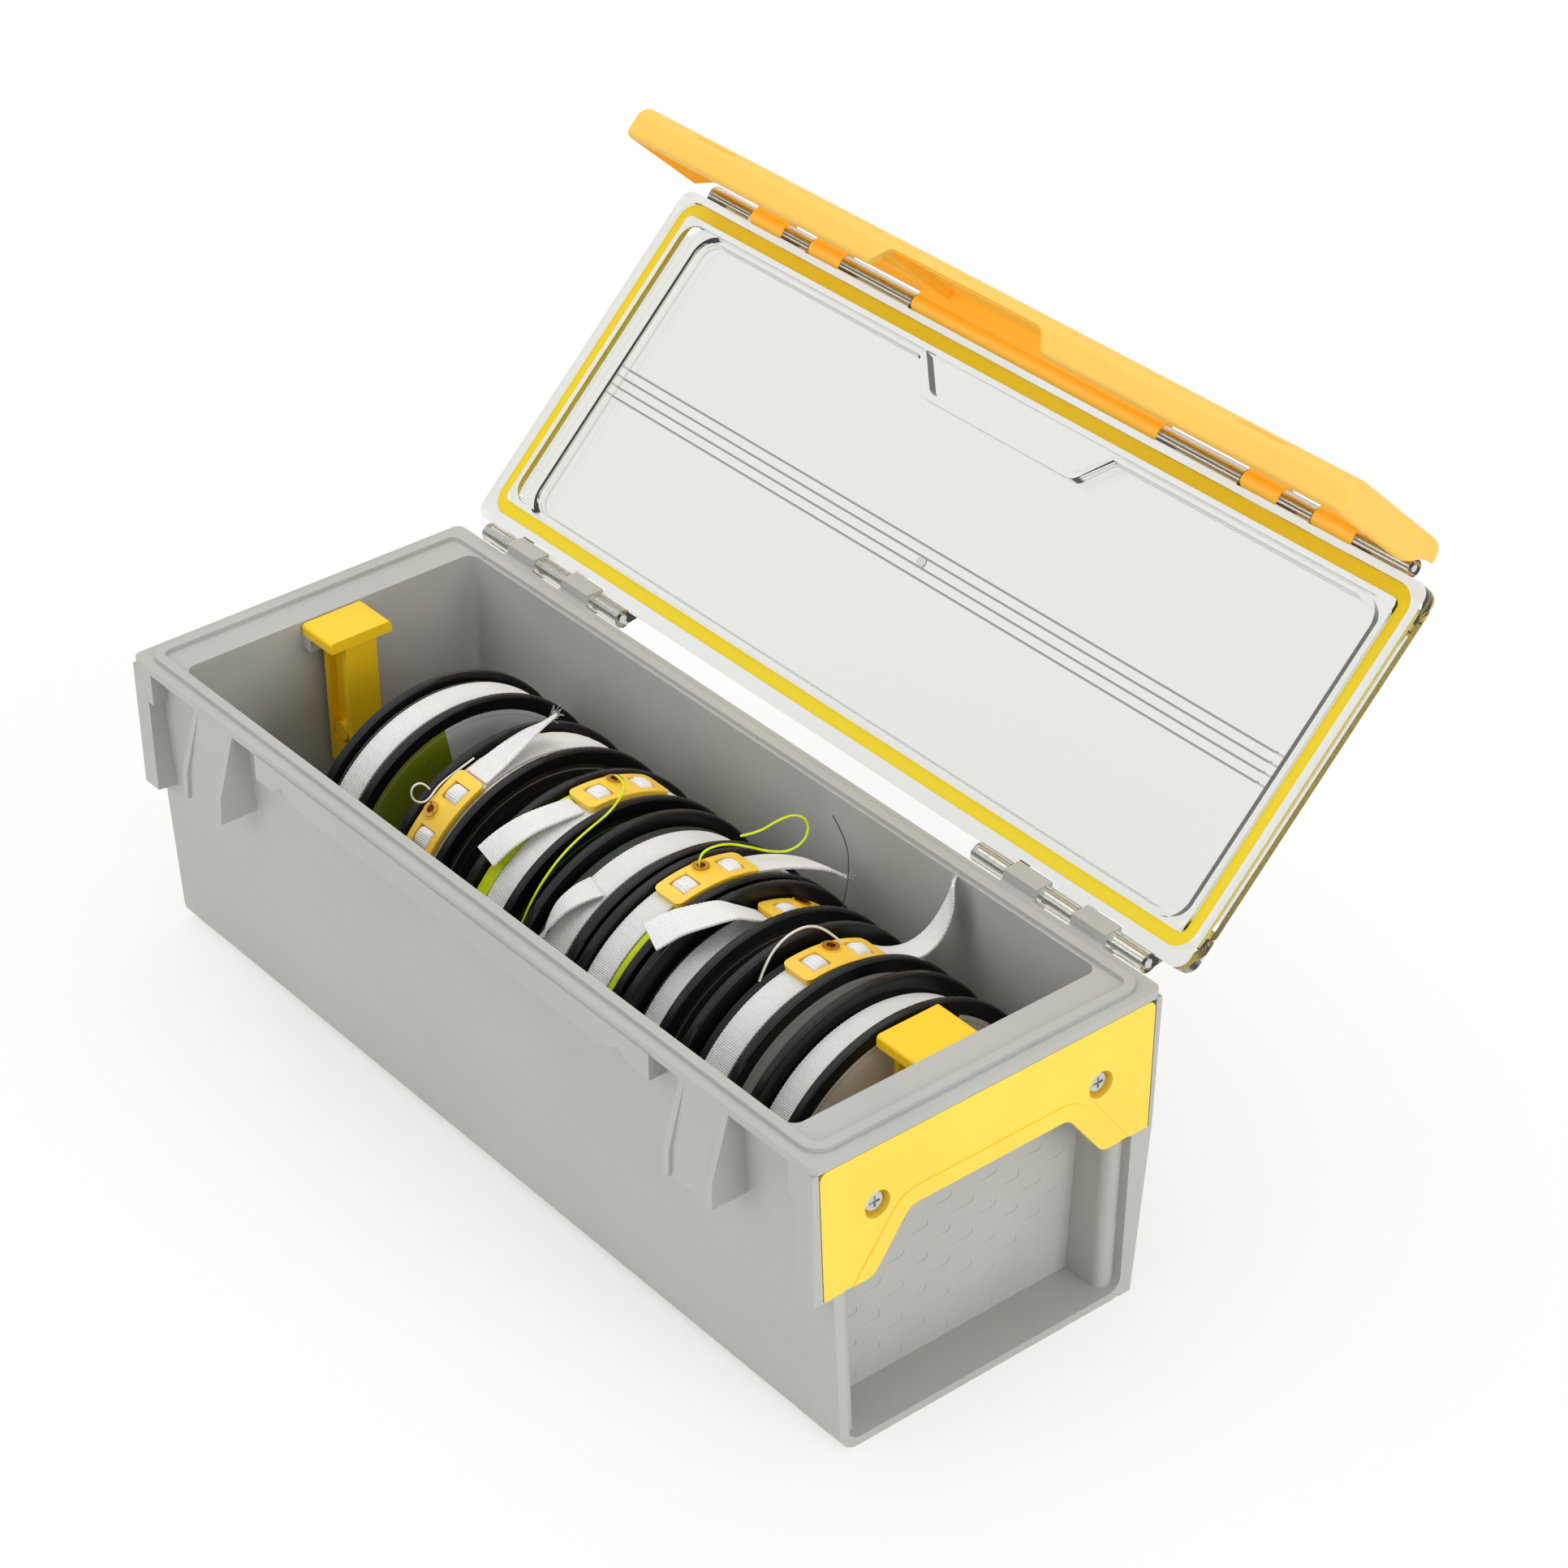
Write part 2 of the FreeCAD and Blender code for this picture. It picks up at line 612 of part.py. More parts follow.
def box_body():
    right_adds = corner_posts() + pocket_columns() + screw_bosses()
    right_adds += buttress() + box_knuckles()
    right_cuts = [plate_seat(), hinge_rod(HINGE_PIN_R + PIN_FIT)] + screw_holes()
    pocket = end_pocket()
    hollow = box_shell().cut([pocket, mirrored_x(pocket), box_cavity()])
    adds = right_adds + [mirrored_x(shape) for shape in right_adds]
    cuts = right_cuts + [mirrored_x(shape) for shape in right_cuts]
    return fused([hollow, front_rail()] + adds).cut(cuts).removeSplitter()


# Handle plates and screws

def arch(grow):
    """Corners of the finger arch, or of its outline pushed outwards by grow."""
    slope = (ARCH_FOOT_HALF - ARCH_TOP_HALF) / (PLATE_DROP - ARCH_DROP)
    top_z = RIM_Z - ARCH_DROP + grow
    low_z = PLATE_BOTTOM_Z - 1
    shift = ARCH_TOP_HALF + grow * math.sqrt(1 + slope * slope)
    top = shift - grow * slope
    foot = shift + (RIM_Z - ARCH_DROP - low_z) * slope
    radius = ARCH_R + grow
    return ((-foot, low_z), (foot, low_z), (top, top_z, radius), (-top, top_z, radius))


def handle_plate():
    """Right-hand plate, with its screw bosses."""
    half_top = RIM_HALF - PLATE_SIDE_LIP - PLATE_FIT
    half_foot = half_top - PLATE_LEAN
    low, high = PLATE_BOTTOM_Z, PLATE_TOP_Z - PLATE_FIT / 2
    sheet = prism_x(((-half_foot, low), (half_foot, low), (half_top, high, PLATE_CORNER_R),
                     (-half_top, high, PLATE_CORNER_R)), SEAT_X, BOX_HALF)
    sheet = sheet.cut(prism_x(arch(0), SEAT_X, BOX_HALF))
    feet = [edge for edge in sheet.Edges if edge.BoundBox.XLength > PLATE_T / 2
            and edge.BoundBox.ZMax < low + PLATE_FIT and abs(edge.CenterOfMass.y) < half_foot - PLATE_FOOT_R]
    sheet = sheet.makeFillet(PLATE_FOOT_R, feet)
    face = BOX_HALF - TROUGH_DEPTH
    trough = prism_x(arch(TROUGH_IN + TROUGH_W), face, BOX_HALF).cut(prism_x(arch(TROUGH_IN), face, BOX_HALF))
    bosses = [rod(BOSS_X, BOX_HALF, y, SCREW_Z, BOSS_R) for y in (-SCREW_Y, SCREW_Y)]
    seat = BOX_HALF - COUNTERBORE_DEPTH
    bores = [rod(seat, BOX_HALF, y, SCREW_Z, COUNTERBORE_R) for y in (-SCREW_Y, SCREW_Y)]
    return fused([sheet] + bosses).cut([trough] + bores + screw_holes())


def handle_screw(y):
    """Pan head screw with a cross recess, at the right end."""
    seat = BOX_HALF - COUNTERBORE_DEPTH
    face = seat + SCREW_HEAD_H
    shank = rod(end_outer(SCREW_Z) + SCREW_END_GAP, seat, y, SCREW_Z, SCREW_R)
    head = rod(seat, face, y, SCREW_Z, SCREW_HEAD_R)
    face_edge = [edge for edge in head.Edges if edge.BoundBox.XMin > (seat + face) / 2]
    head = head.makeFillet(SCREW_HEAD_H / 2, face_edge)
    slots = []
    for wide, tall in ((SCREW_CROSS_L, SCREW_CROSS_W), (SCREW_CROSS_W, SCREW_CROSS_L)):
        slots.append(block(face - SCREW_CROSS_D, face, y - wide / 2, y + wide / 2,
                           SCREW_Z - tall / 2, SCREW_Z + tall / 2))
    return fused([head, shank]).cut(slots)


def handle_screws():
    right = [handle_screw(y) for y in (-SCREW_Y, SCREW_Y)]
    return Part.makeCompound(right + [mirrored_x(screw) for screw in right])


def hinge_rod(radius):
    """Rod on the lid's hinge axis through all the right-hand knuckles."""
    spans = knuckle_spans(on_lid=True)
    return rod(spans[-1][0], spans[0][1], HINGE_Y, HINGE_Z, radius)


def hinge_pins():
    pin = hinge_rod(HINGE_PIN_R)
    return Part.makeCompound([pin, mirrored_x(pin)])


# Lid, gasket and latch, drawn closed

def finger_recess(grow):
    """Trapezoid at the front of the dome, pushed outwards by grow."""
    front = DOME_FRONT_Y - DOME_WALL_T - 1
    back = DOME_FRONT_Y - DOME_WALL_T + RECESS_DEPTH + grow
    return ((-RECESS_FRONT_HALF - grow, front), (RECESS_FRONT_HALF + grow, front),
            (RECESS_BACK_HALF + grow, back, LID_CORNER_R), (-RECESS_BACK_HALF - grow, back, LID_CORNER_R))


def tapered(corners_low, corners_high, z0, z1):
    return Part.makeLoft([outline(corners_low, xy(z0)), outline(corners_high, xy(z1))], True, True)


def dome(grow, z0, z1):
    """Raised middle of the lid, or the hollow under it, narrowing towards the top."""
    x, front, back = DOME_X + grow, DOME_FRONT_Y - grow, DOME_REAR_Y + grow
    low = rect(-x, x, front, back, DOME_CORNER_R + grow)
    high = rect(-x + DOME_DRAFT, x - DOME_DRAFT, front + DOME_DRAFT, back - DOME_DRAFT,
                DOME_CORNER_R + grow - DOME_DRAFT)
    return tapered(low, high, z0, z1)


def lid_shell():
    flange = prism_z(rect(-BOX_HALF, BOX_HALF, LID_FRONT_Y, LID_REAR_Y, LID_CORNER_R), LIP_Z, FLANGE_TOP_Z)
    plate_z = FLANGE_TOP_Z - LID_PLATE_T
    crown = dome(DOME_WALL_T, FLANGE_TOP_Z, DOME_TOP_Z)
    crown = crown.cut(prism_z(finger_recess(0), FLANGE_TOP_Z, DOME_TOP_Z))
    hollow = dome(0, plate_z, DOME_ROOF_Z)
    hollow = hollow.cut(prism_z(finger_recess(DOME_WALL_T), plate_z, DOME_ROOF_Z))
    under = prism_z(rect(-LIP_IN_X, LIP_IN_X, -LIP_IN_Y, LIP_IN_Y, DOME_CORNER_R), LIP_Z, plate_z)
    channel = ring(BEAD_X, BEAD_Y, GASKET_W + 2 * GASKET_FIT, BEAD_CORNER_R, LIP_Z, CHANNEL_Z)
    shell = fused([flange, crown]).cut([hollow, under, channel])
    adds = lid_lines() + lid_knuckles() + latch_barrels()
    cuts = lid_clearances()
    return fused([shell.cut(cuts)] + adds).cut(lid_bores()).removeSplitter()


def lid_lines():
    """Moulded lines across the dome's underside and the gate mark in its middle."""
    lines = []
    for i in range(LID_LINE_COUNT):
        y = LID_LINE_Y + (i - (LID_LINE_COUNT - 1) / 2) * LID_LINE_PITCH
        lines.append(block(-DOME_X, DOME_X, y - LID_LINE_W / 2, y + LID_LINE_W / 2,
                           DOME_ROOF_Z - LID_LINE_W, DOME_ROOF_Z + DOME_WALL_T / 2))
    lines.append(Part.makeCylinder(GATE_R, GATE_H + DOME_WALL_T / 2,
                                   Vector(0, LID_LINE_Y, DOME_ROOF_Z - GATE_H)))
    return lines


def lid_knuckles():
    knuckles = []
    for low, high in knuckle_spans(on_lid=True):
        web = prism_x(((LID_REAR_Y - 1, LIP_Z), (HINGE_Y, HINGE_Z), (HINGE_Y, HINGE_Z + KNUCKLE_R),
                       (LID_REAR_Y - 1, FLANGE_TOP_Z)), low, high)
        eye = rod(low, high, HINGE_Y, HINGE_Z, KNUCKLE_R)
        knuckles += [web, eye, mirrored_x(web), mirrored_x(eye)]
    return knuckles


def latch_barrels():
    """Barrels on the lid's front edge that carry the latch pin."""
    barrels = []
    for low, high in latch_spans(on_lid=True):
        web = block(low, high, LATCH_AXIS_Y, LID_FRONT_Y + 1, LIP_Z, LATCH_AXIS_Z + LATCH_BARREL_R / 2)
        barrels += [web, rod(low, high, LATCH_AXIS_Y, LATCH_AXIS_Z, LATCH_BARREL_R)]
    return barrels


def lid_clearances():
    """Room in the lid's edges for the box's knuckles and the latch's barrels."""
    cuts = []
    clear = KNUCKLE_R * math.sqrt(2) + HINGE_CLEAR
    for low, high in knuckle_spans(on_lid=False):
        cut = block(low - KNUCKLE_GAP, high + KNUCKLE_GAP, HINGE_Y - clear, HINGE_Y, LIP_Z, DOME_TOP_Z)
        cuts += [cut, mirrored_x(cut)]
    for low, high in latch_spans(on_lid=False):
        cuts.append(block(low - LATCH_KNUCKLE_GAP, high + LATCH_KNUCKLE_GAP, LID_FRONT_Y,
                          LATCH_AXIS_Y + LATCH_BARREL_R + HINGE_CLEAR, LIP_Z, DOME_TOP_Z))
    return cuts


def lid_bores():
    hinge = hinge_rod(HINGE_PIN_R + PIN_RUN_FIT)
    return [hinge, mirrored_x(hinge), latch_rod(LATCH_PIN_R + PIN_FIT)]


def lid_gasket():
    return ring(BEAD_X, BEAD_Y, GASKET_W, BEAD_CORNER_R, CHANNEL_Z - GASKET_H, CHANNEL_Z)


def latch_rod(radius):
    """Two rods on the latch's axis, each through all the barrels of one half."""
    inner = BOX_HALF - LATCH_STEPS[0] - LATCH_FIRST_BARREL_L
    outer = BOX_HALF - LATCH_STEPS[-1]
    right = rod(inner, outer, LATCH_AXIS_Y, LATCH_AXIS_Z, radius)
    return Part.makeCompound([right, mirrored_x(right)])


def latch_channel():
    """Long channel, open towards the box, with closed ends."""
    foot_face = LATCH_FACE_Y + LATCH_FOOT_IN
    top_in = LATCH_FACE_Y + LATCH_TOP_REACH
    side_z = LATCH_AXIS_Z - LATCH_BARREL_R - HINGE_CLEAR
    knee_z = LATCH_TOP_Z - LATCH_SIDE_DROP
    body = prism_x(((LID_FRONT_Y, LATCH_FOOT_Z, LATCH_WALL_T), (foot_face, LATCH_FOOT_Z, LATCH_FOLD_R),
                    (LATCH_FACE_Y, LATCH_TOP_Z, LATCH_FOLD_R), (top_in, LATCH_TOP_Z),
                    (top_in, LATCH_TOP_Z - LATCH_WALL_T), (LATCH_AXIS_Y - LATCH_BARREL_R, side_z),
                    (LID_FRONT_Y - LATCH_FOOT_IN, knee_z)), -LATCH_HALF, LATCH_HALF)
    corners = [edge for edge in body.Edges if edge.BoundBox.XLength < 1e-6 and edge.BoundBox.YMax < top_in
               and edge.BoundBox.ZLength > LATCH_BOTTOM / 2]
    body = body.makeFillet(LATCH_WALL_T, corners)
    low, high = LATCH_FOOT_Z + LATCH_WALL_T, LATCH_TOP_Z - LATCH_WALL_T
    soft = LATCH_FOLD_R - LATCH_WALL_T
    hollow = prism_x(((0, low), (foot_face + LATCH_WALL_T, low, soft),
                      (LATCH_FACE_Y + LATCH_WALL_T, high, soft), (0, high)),
                     -LATCH_HALF + LATCH_WALL_T, LATCH_HALF - LATCH_WALL_T)
    notch = prism_z(((-NOTCH_HALF, LID_FRONT_Y + 1), (NOTCH_HALF, LID_FRONT_Y + 1),
                     (NOTCH_BACK_HALF, LID_FRONT_Y - NOTCH_DEPTH, LATCH_FOLD_R),
                     (-NOTCH_BACK_HALF, LID_FRONT_Y - NOTCH_DEPTH, LATCH_FOLD_R)), LATCH_FOOT_Z, low)
    return body.cut([hollow, notch])


def latch_ribs():
    wall = LATCH_FACE_Y + LATCH_WALL_T / 2
    low, high = LATCH_FOOT_Z + LATCH_WALL_T / 2, LATCH_AXIS_Z - LATCH_BARREL_R
    ribs = []
    for inset in LATCH_RIB_INSETS:
        x = BOX_HALF - inset
        rib = prism_x(((wall + LATCH_FOOT_IN, low), (wall + LATCH_RIB_D + LATCH_FOOT_IN, low),
                       (wall + LATCH_RIB_D, high), (wall, high)), x - LATCH_RIB_T / 2, x + LATCH_RIB_T / 2)
        ribs += [rib, mirrored_x(rib)]
    return ribs


def latch_hooks():
    """Hooks that pass under the buttresses when the latch is pressed shut."""
    half = BUTTRESS_W / 2 - HOOK_SIDE_GAP
    wall = LATCH_FACE_Y + LATCH_WALL_T / 2
    tip = LATCH_FACE_Y + LATCH_WALL_T + HOOK_REACH
    top = BUTTRESS_Z - HOOK_GAP
    hook = prism_x(((wall + LATCH_FOOT_IN, top - HOOK_H), (tip, top - HOOK_H / 2, HOOK_TIP_R),
                    (tip, top, HOOK_TIP_R), (wall, top)), BUTTRESS_X - half, BUTTRESS_X + half)
    return [hook, mirrored_x(hook)]


def latch():
    wall = LATCH_FACE_Y + LATCH_WALL_T / 2
    arms = []
    for low, high in latch_spans(on_lid=False):
        arms.append(block(low, high, wall, LATCH_AXIS_Y, LATCH_AXIS_Z - LATCH_ARM_T / 2,
                          LATCH_AXIS_Z + LATCH_ARM_T / 2))
        arms.append(rod(low, high, LATCH_AXIS_Y, LATCH_AXIS_Z, LATCH_BARREL_R))
    solid = fused([latch_channel()] + latch_ribs() + latch_hooks() + arms)
    return solid.cut(latch_rod(LATCH_PIN_R + PIN_RUN_FIT)).removeSplitter()


# Rack

def axle_bracket():
    """Right-hand T bracket: an ear plate on the end wall's pads and a stem down to the axle."""
    half = BRACKET_BODY_HALF
    stem = block(BRACKET_IN_X, BRACKET_OUT_X, -half, half, AXLE_Z, BRACKET_SEAT_Z)
    end = rod(BRACKET_IN_X, BRACKET_OUT_X, 0, AXLE_Z, half)
    plate_out = end_inner(BRACKET_SEAT_Z) - BRACKET_WALL_GAP
    plate = prism_x(((-BRACKET_PLATE_HALF, BRACKET_SEAT_Z), (BRACKET_PLATE_HALF, BRACKET_SEAT_Z),
                     (BRACKET_PLATE_HALF, BRACKET_TOP_Z, BRACKET_EDGE_R),
                     (-BRACKET_PLATE_HALF, BRACKET_TOP_Z, BRACKET_EDGE_R)), BRACKET_PLATE_IN_X, plate_out)
    middle = (BRACKET_IN_X + BRACKET_OUT_X) / 2
    groove_low = AXLE_Z + half + BRACKET_GROOVE_END / 2
    groove_high = BRACKET_SEAT_Z - BRACKET_GROOVE_END / 2
    grooves = []
    for y0, y1 in ((-half, -half + BRACKET_GROOVE_D), (half - BRACKET_GROOVE_D, half)):
        grooves.append(prism_y(((middle - BRACKET_GROOVE_W / 2, groove_low, BRACKET_EDGE_R),
                                (middle + BRACKET_GROOVE_W / 2, groove_low, BRACKET_EDGE_R),
                                (middle + BRACKET_GROOVE_W / 2, groove_high, BRACKET_EDGE_R),
                                (middle - BRACKET_GROOVE_W / 2, groove_high, BRACKET_EDGE_R)), y0, y1))
    boss = Part.makeCylinder(BRACKET_BOSS_R, 2 * half, Vector(middle, -half, AXLE_Z + BRACKET_BOSS_RISE),
                             Vector(0, 1, 0))
    bore = rod(BRACKET_IN_X, BRACKET_OUT_X, 0, AXLE_Z, AXLE_STUB_R + AXLE_STUB_FIT)
    return fused([fused([stem, end, plate]).cut(grooves), boss]).cut(bore)


def axle_rod():
    shoulder = BRACKET_IN_X - AXLE_END_GAP
    stub = rod(-BRACKET_OUT_X, BRACKET_OUT_X, 0, AXLE_Z, AXLE_STUB_R)
    return fused([rod(-shoulder, shoulder, 0, AXLE_Z, AXLE_R), stub])


# Spools and what is wound or strapped on them, drawn about the X axis

def spool_centres():
    """Middle of each spool along the axle, worked out from the right bracket."""
    centres = []
    right = BRACKET_PLATE_IN_X
    for gap, width, *_ in reversed(SPOOL_ROWS):
        centres.insert(0, right - gap - width / 2)
        right -= gap + width
    return centres


def on_axle(shape, centre):
    placed = shape.copy()
    placed.translate(Vector(centre, 0, AXLE_Z))
    return placed


def turned(shape, degrees):
    """Turns a shape about the axle, from +Y towards +Z."""
    moved = shape.copy()
    moved.rotate(Vector(0, 0, 0), Vector(1, 0, 0), degrees)
    return moved


def revolved(corners):
    """Full turn about X of an outline in x and radius."""
    return Part.Face(outline(corners, xy(0))).revolve(Vector(0, 0, 0), Vector(1, 0, 0), 360)


def spool(width):
    half = width / 2
    bore = AXLE_R + SPOOL_BORE_FIT
    field = half - SPOOL_LABEL_DEPTH
    rim_in = SPOOL_R - SPOOL_RIM_BAND
    inner = half - SPOOL_RIM_T
    right = ((half, bore), (half, SPOOL_HUB_R), (field, SPOOL_HUB_R), (field, rim_in), (half, rim_in),
             (half, SPOOL_R, SPOOL_EDGE_R), (inner, SPOOL_R, SPOOL_EDGE_R), (inner, SPOOL_BARREL_R))
    left = tuple((-corner[0],) + corner[1:] for corner in reversed(right))
    return revolved(right + left)


def band_radius(drop):
    return SPOOL_R - drop


def line_radius(drop):
    """Outside of the wound line, just under the band."""
    return band_radius(drop) - BAND_T - BAND_GAP


def biarc(p0, t0, p1, t1):
    """Two arcs from p0 to p1 that start along t0 and end along t1."""
    chord = p1 - p0
    both = t0 + t1
    spread = 2 * (1 - t0.dot(t1))
    reach = chord.dot(both)
    d = (math.sqrt(reach * reach + spread * chord.dot(chord)) - reach) / spread
    q0 = p0 + t0 * d
    q1 = p1 - t1 * d
    joint = (q0 + q1) * 0.5
    arcs = []
    for start, knee, end in ((p0, q0, joint), (joint, q1, p1)):
        middle = (start + end) * 0.5
        half_chord = start.distanceToPoint(middle)
        lean = math.acos(half_chord / start.distanceToPoint(knee))
        crown = middle + (knee - middle) * (math.tan(lean / 2) / math.tan(lean))
        arcs.append(Part.Arc(start, crown, end).toShape())
    return arcs


def winding(radius, half_length):
    """Outer layer of turns on a spool: one unbroken tube and its least gap to itself."""
    turns = int(2 * half_length / LINE_PITCH)
    start_x = -turns * LINE_PITCH / 2
    climb = LINE_PITCH / (2 * math.pi)

    def spot(angle):
        return Vector(start_x + climb * angle, radius * math.cos(angle), radius * math.sin(angle))

    def heading(angle):
        return Vector(climb, -radius * math.sin(angle), radius * math.cos(angle)).normalize()

    edges = []
    for i in range(2 * turns):
        a, b = i * math.pi, (i + 1) * math.pi
        edges += biarc(spot(a), heading(a), spot(b), heading(b))
    last = 2 * turns * math.pi
    points = [point for edge in edges for point in edge.discretize(GAP_SAMPLES)[:-1]]
    per_turn = 4 * (GAP_SAMPLES - 1)
    least = min(points[i].distanceToPoint(points[j]) for i in range(len(points))
                for j in range(i + per_turn // 2, min(i + 2 * per_turn, len(points))))
    lead = Part.LineSegment(spot(0) - heading(0) * LINE_D, spot(0)).toShape()
    tail = Part.LineSegment(spot(last), spot(last) + heading(last) * LINE_D).toShape()
    path = Part.Wire([lead] + edges + [tail])
    return tube(path, spot(0) - heading(0) * LINE_D, heading(0), LINE_D), turns, least - LINE_D


def tube(path, start, heading, diameter):
    profile = Part.Wire([Part.makeCircle(diameter / 2, start, heading)])
    return path.makePipeShell([profile], True, False)


def wound_line(width, drop):
    half = width / 2 - SPOOL_RIM_T - LINE_SIDE_GAP
    outside = line_radius(drop)
    core_r = outside - LINE_D - LINE_CORE_GAP
    core = rod(-half, half, 0, 0, core_r).cut(rod(-half, half, 0, 0, SPOOL_BARREL_R + LINE_CORE_GAP))
    turns_tube, turns, gap = winding(outside - LINE_D / 2, half - LINE_D / 2)
    return Part.makeCompound([core, turns_tube]), turns, gap


def band_ring(drop, band_w):
    outer = rod(-band_w / 2, band_w / 2, 0, 0, band_radius(drop))
    return outer.cut(rod(-band_w / 2, band_w / 2, 0, 0, band_radius(drop) - BAND_T))


def band_tail(stations, drop, band_w):
    """Free end of a band: a flat strip through the stations."""
    spots = []
    for x, degrees, rise in stations:
        r = band_radius(drop) + rise
        spots.append(Vector(x, r * math.cos(math.radians(degrees)), r * math.sin(math.radians(degrees))))
    wires = []
    for i, spot in enumerate(spots):
        along = spots[min(i + 1, len(spots) - 1)] - spots[max(i - 1, 0)]
        up = Vector(0, -along.z, along.y).normalize() * (BAND_T / 2)
        side = Vector(band_w / 2, 0, 0)
        wires.append(Part.makePolygon([spot - side - up, spot + side - up, spot + side + up, spot - side + up,
                                       spot - side - up]))
    return Part.makeLoft(wires, True, True)


def clip(drop):
    """Curved plate on the band, drawn at +Y, with two windows and a boss for the eyelet."""
    seat = band_radius(drop) + BAND_GAP
    span = math.degrees(CLIP_LEN / seat)
    section = Part.Face(outline(rect(-CLIP_W / 2, CLIP_W / 2, seat, seat + CLIP_T, 0), xy(0)))
    plate = turned(section.revolve(Vector(0, 0, 0), Vector(1, 0, 0), span), -span / 2)
    corners = [edge for edge in plate.Edges if edge.Length < CLIP_T * 1.1]
    plate = plate.makeFillet(CLIP_T, corners)
    top = seat + CLIP_T + EYELET_BOSS_RISE
    up = Vector(0, 1, 0)
    root = Vector(EYELET_X, seat + CLIP_T / 2, 0)
    boss = Part.makeCylinder(EYELET_BOSS_R, top - root.y, root, up)
    hole = Part.makeCylinder(EYELET_TUBE_R + EYELET_FIT, top - seat, Vector(EYELET_X, seat, 0), up)
    window = block(-CLIP_WINDOW_W / 2, CLIP_WINDOW_W / 2, seat - CLIP_T, seat + 2 * CLIP_T,
                   -CLIP_WINDOW_LEN / 2, CLIP_WINDOW_LEN / 2)
    step = math.degrees(CLIP_WINDOW_PITCH / 2 / seat)
    return fused([plate, boss]).cut([hole, turned(window, step), turned(window, -step)])


def eyelet(drop):
    seat = band_radius(drop) + BAND_GAP
    top = seat + CLIP_T + EYELET_BOSS_RISE
    foot = Vector(EYELET_X, seat + CLIP_T / 2, 0)
    up = Vector(0, 1, 0)
    height = top - foot.y
    neck = Part.makeCylinder(EYELET_TUBE_R, height, foot, up)
    flange = Part.makeCylinder(EYELET_FLANGE_R, EYELET_FLANGE_T, Vector(EYELET_X, top, 0), up)
    hole = Part.makeCylinder(EYELET_HOLE_R, height + EYELET_FLANGE_T, foot, up)
    return fused([neck, flange]).cut(hole)


def line_tail(diameter, route):
    """Tube along straight runs joined by the largest tangent arcs that the runs allow."""
    points = [Vector(*point) for point in route]
    runs = [b - a for a, b in zip(points, points[1:])]
    edges, radii = [], []
    last = points[0]
    for i in range(1, len(points) - 1):
        back, ahead = runs[i - 1], runs[i]
        turn = back.getAngle(ahead)
        setback = ARC_SHARE * min(back.Length, ahead.Length)
        radius = setback / math.tan(turn / 2)
        back, ahead = Vector(back).normalize(), Vector(ahead).normalize()
        start, end = points[i] - back * setback, points[i] + ahead * setback
        middle = (ahead - back).normalize()
        crown = points[i] + middle * (radius / math.cos(turn / 2) - radius)
        edges += [Part.LineSegment(last, start).toShape(), Part.Arc(start, crown, end).toShape()]
        radii.append(radius)
        last = end
    edges.append(Part.LineSegment(last, points[-1]).toShape())
    path = Part.Wire(edges)
    solid = tube(path, points[0], Vector(runs[0]).normalize(), diameter)
    share = solid.Volume / (path.Length * math.pi * diameter ** 2 / 4)
    return solid, path.Length, min(radii), share


def build():
    parts = {
        "box_body": box_body(),
        "handle_screws": handle_screws(),
        "hinge_pins": hinge_pins(),
        "lid_shell": opened(lid_shell()),
        "lid_gasket": opened(lid_gasket()),
        "latch_pin": opened(latch_rod(LATCH_PIN_R)),
        "latch": opened(latch()),
        "axle_rod": axle_rod(),
    }
    for side, sign in SIDES:
        parts["handle_plate_" + side] = to_side(handle_plate(), sign)
        parts["axle_bracket_" + side] = to_side(axle_bracket(), sign)
        parts["rack_rest_" + side] = to_side(rack_rest(), sign)
    for number, (row, centre) in enumerate(zip(SPOOL_ROWS, spool_centres()), 1):
        _, width, drop, band_w, clip_angle = row
        name = str(number)
        wound, turns, gap = wound_line(width, drop)
        print("line", number, "turns", turns, "least gap", round(gap, 3))
        hoop = band_ring(drop, band_w)
        hoop.translate(Vector(BAND_SHIFTS.get(number, 0), 0, 0))
        band = [hoop]
        if number in BAND_TAILS:
            band.append(band_tail(BAND_TAILS[number], drop, band_w))
        parts["spool_" + name] = on_axle(spool(width), centre)
        parts["line_" + name] = on_axle(wound, centre)
        parts["band_" + name] = on_axle(Part.makeCompound(band), centre)
        parts["clip_" + name] = on_axle(turned(clip(drop), clip_angle), centre)
        parts["eyelet_" + name] = on_axle(turned(eyelet(drop), clip_angle), centre)
    for number, (diameter, route) in LINE_TAILS.items():
        solid, length, radius, share = line_tail(diameter, route)
        print("line tail", number, "length", round(length, 1), "least radius", round(radius, 2),
              "volume share", round(share, 3))
        parts["line_tail_" + str(number)] = solid
    return parts


def main():
    os.makedirs("parts", exist_ok=True)
    for name, shape in build().items():
        shape.exportStep("parts/" + name + ".step")
        print(name, "solids", len(shape.Solids), "valid", shape.isValid(), "volume", round(shape.Volume, 1))


main()
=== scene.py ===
"""Storage box for spools of fishing line: finishes, soft pieces, loose lines and studio.

The scene is in metres, and the constants that are multiplied by MM are in millimetres. +X runs along
the box, -Y is the latch side, +Y the hinge side and +Z is up.
"""

import math
import random
from collections import namedtuple
from contextlib import contextmanager
from functools import lru_cache, reduce

import bpy
from mathutils import Matrix, Vector


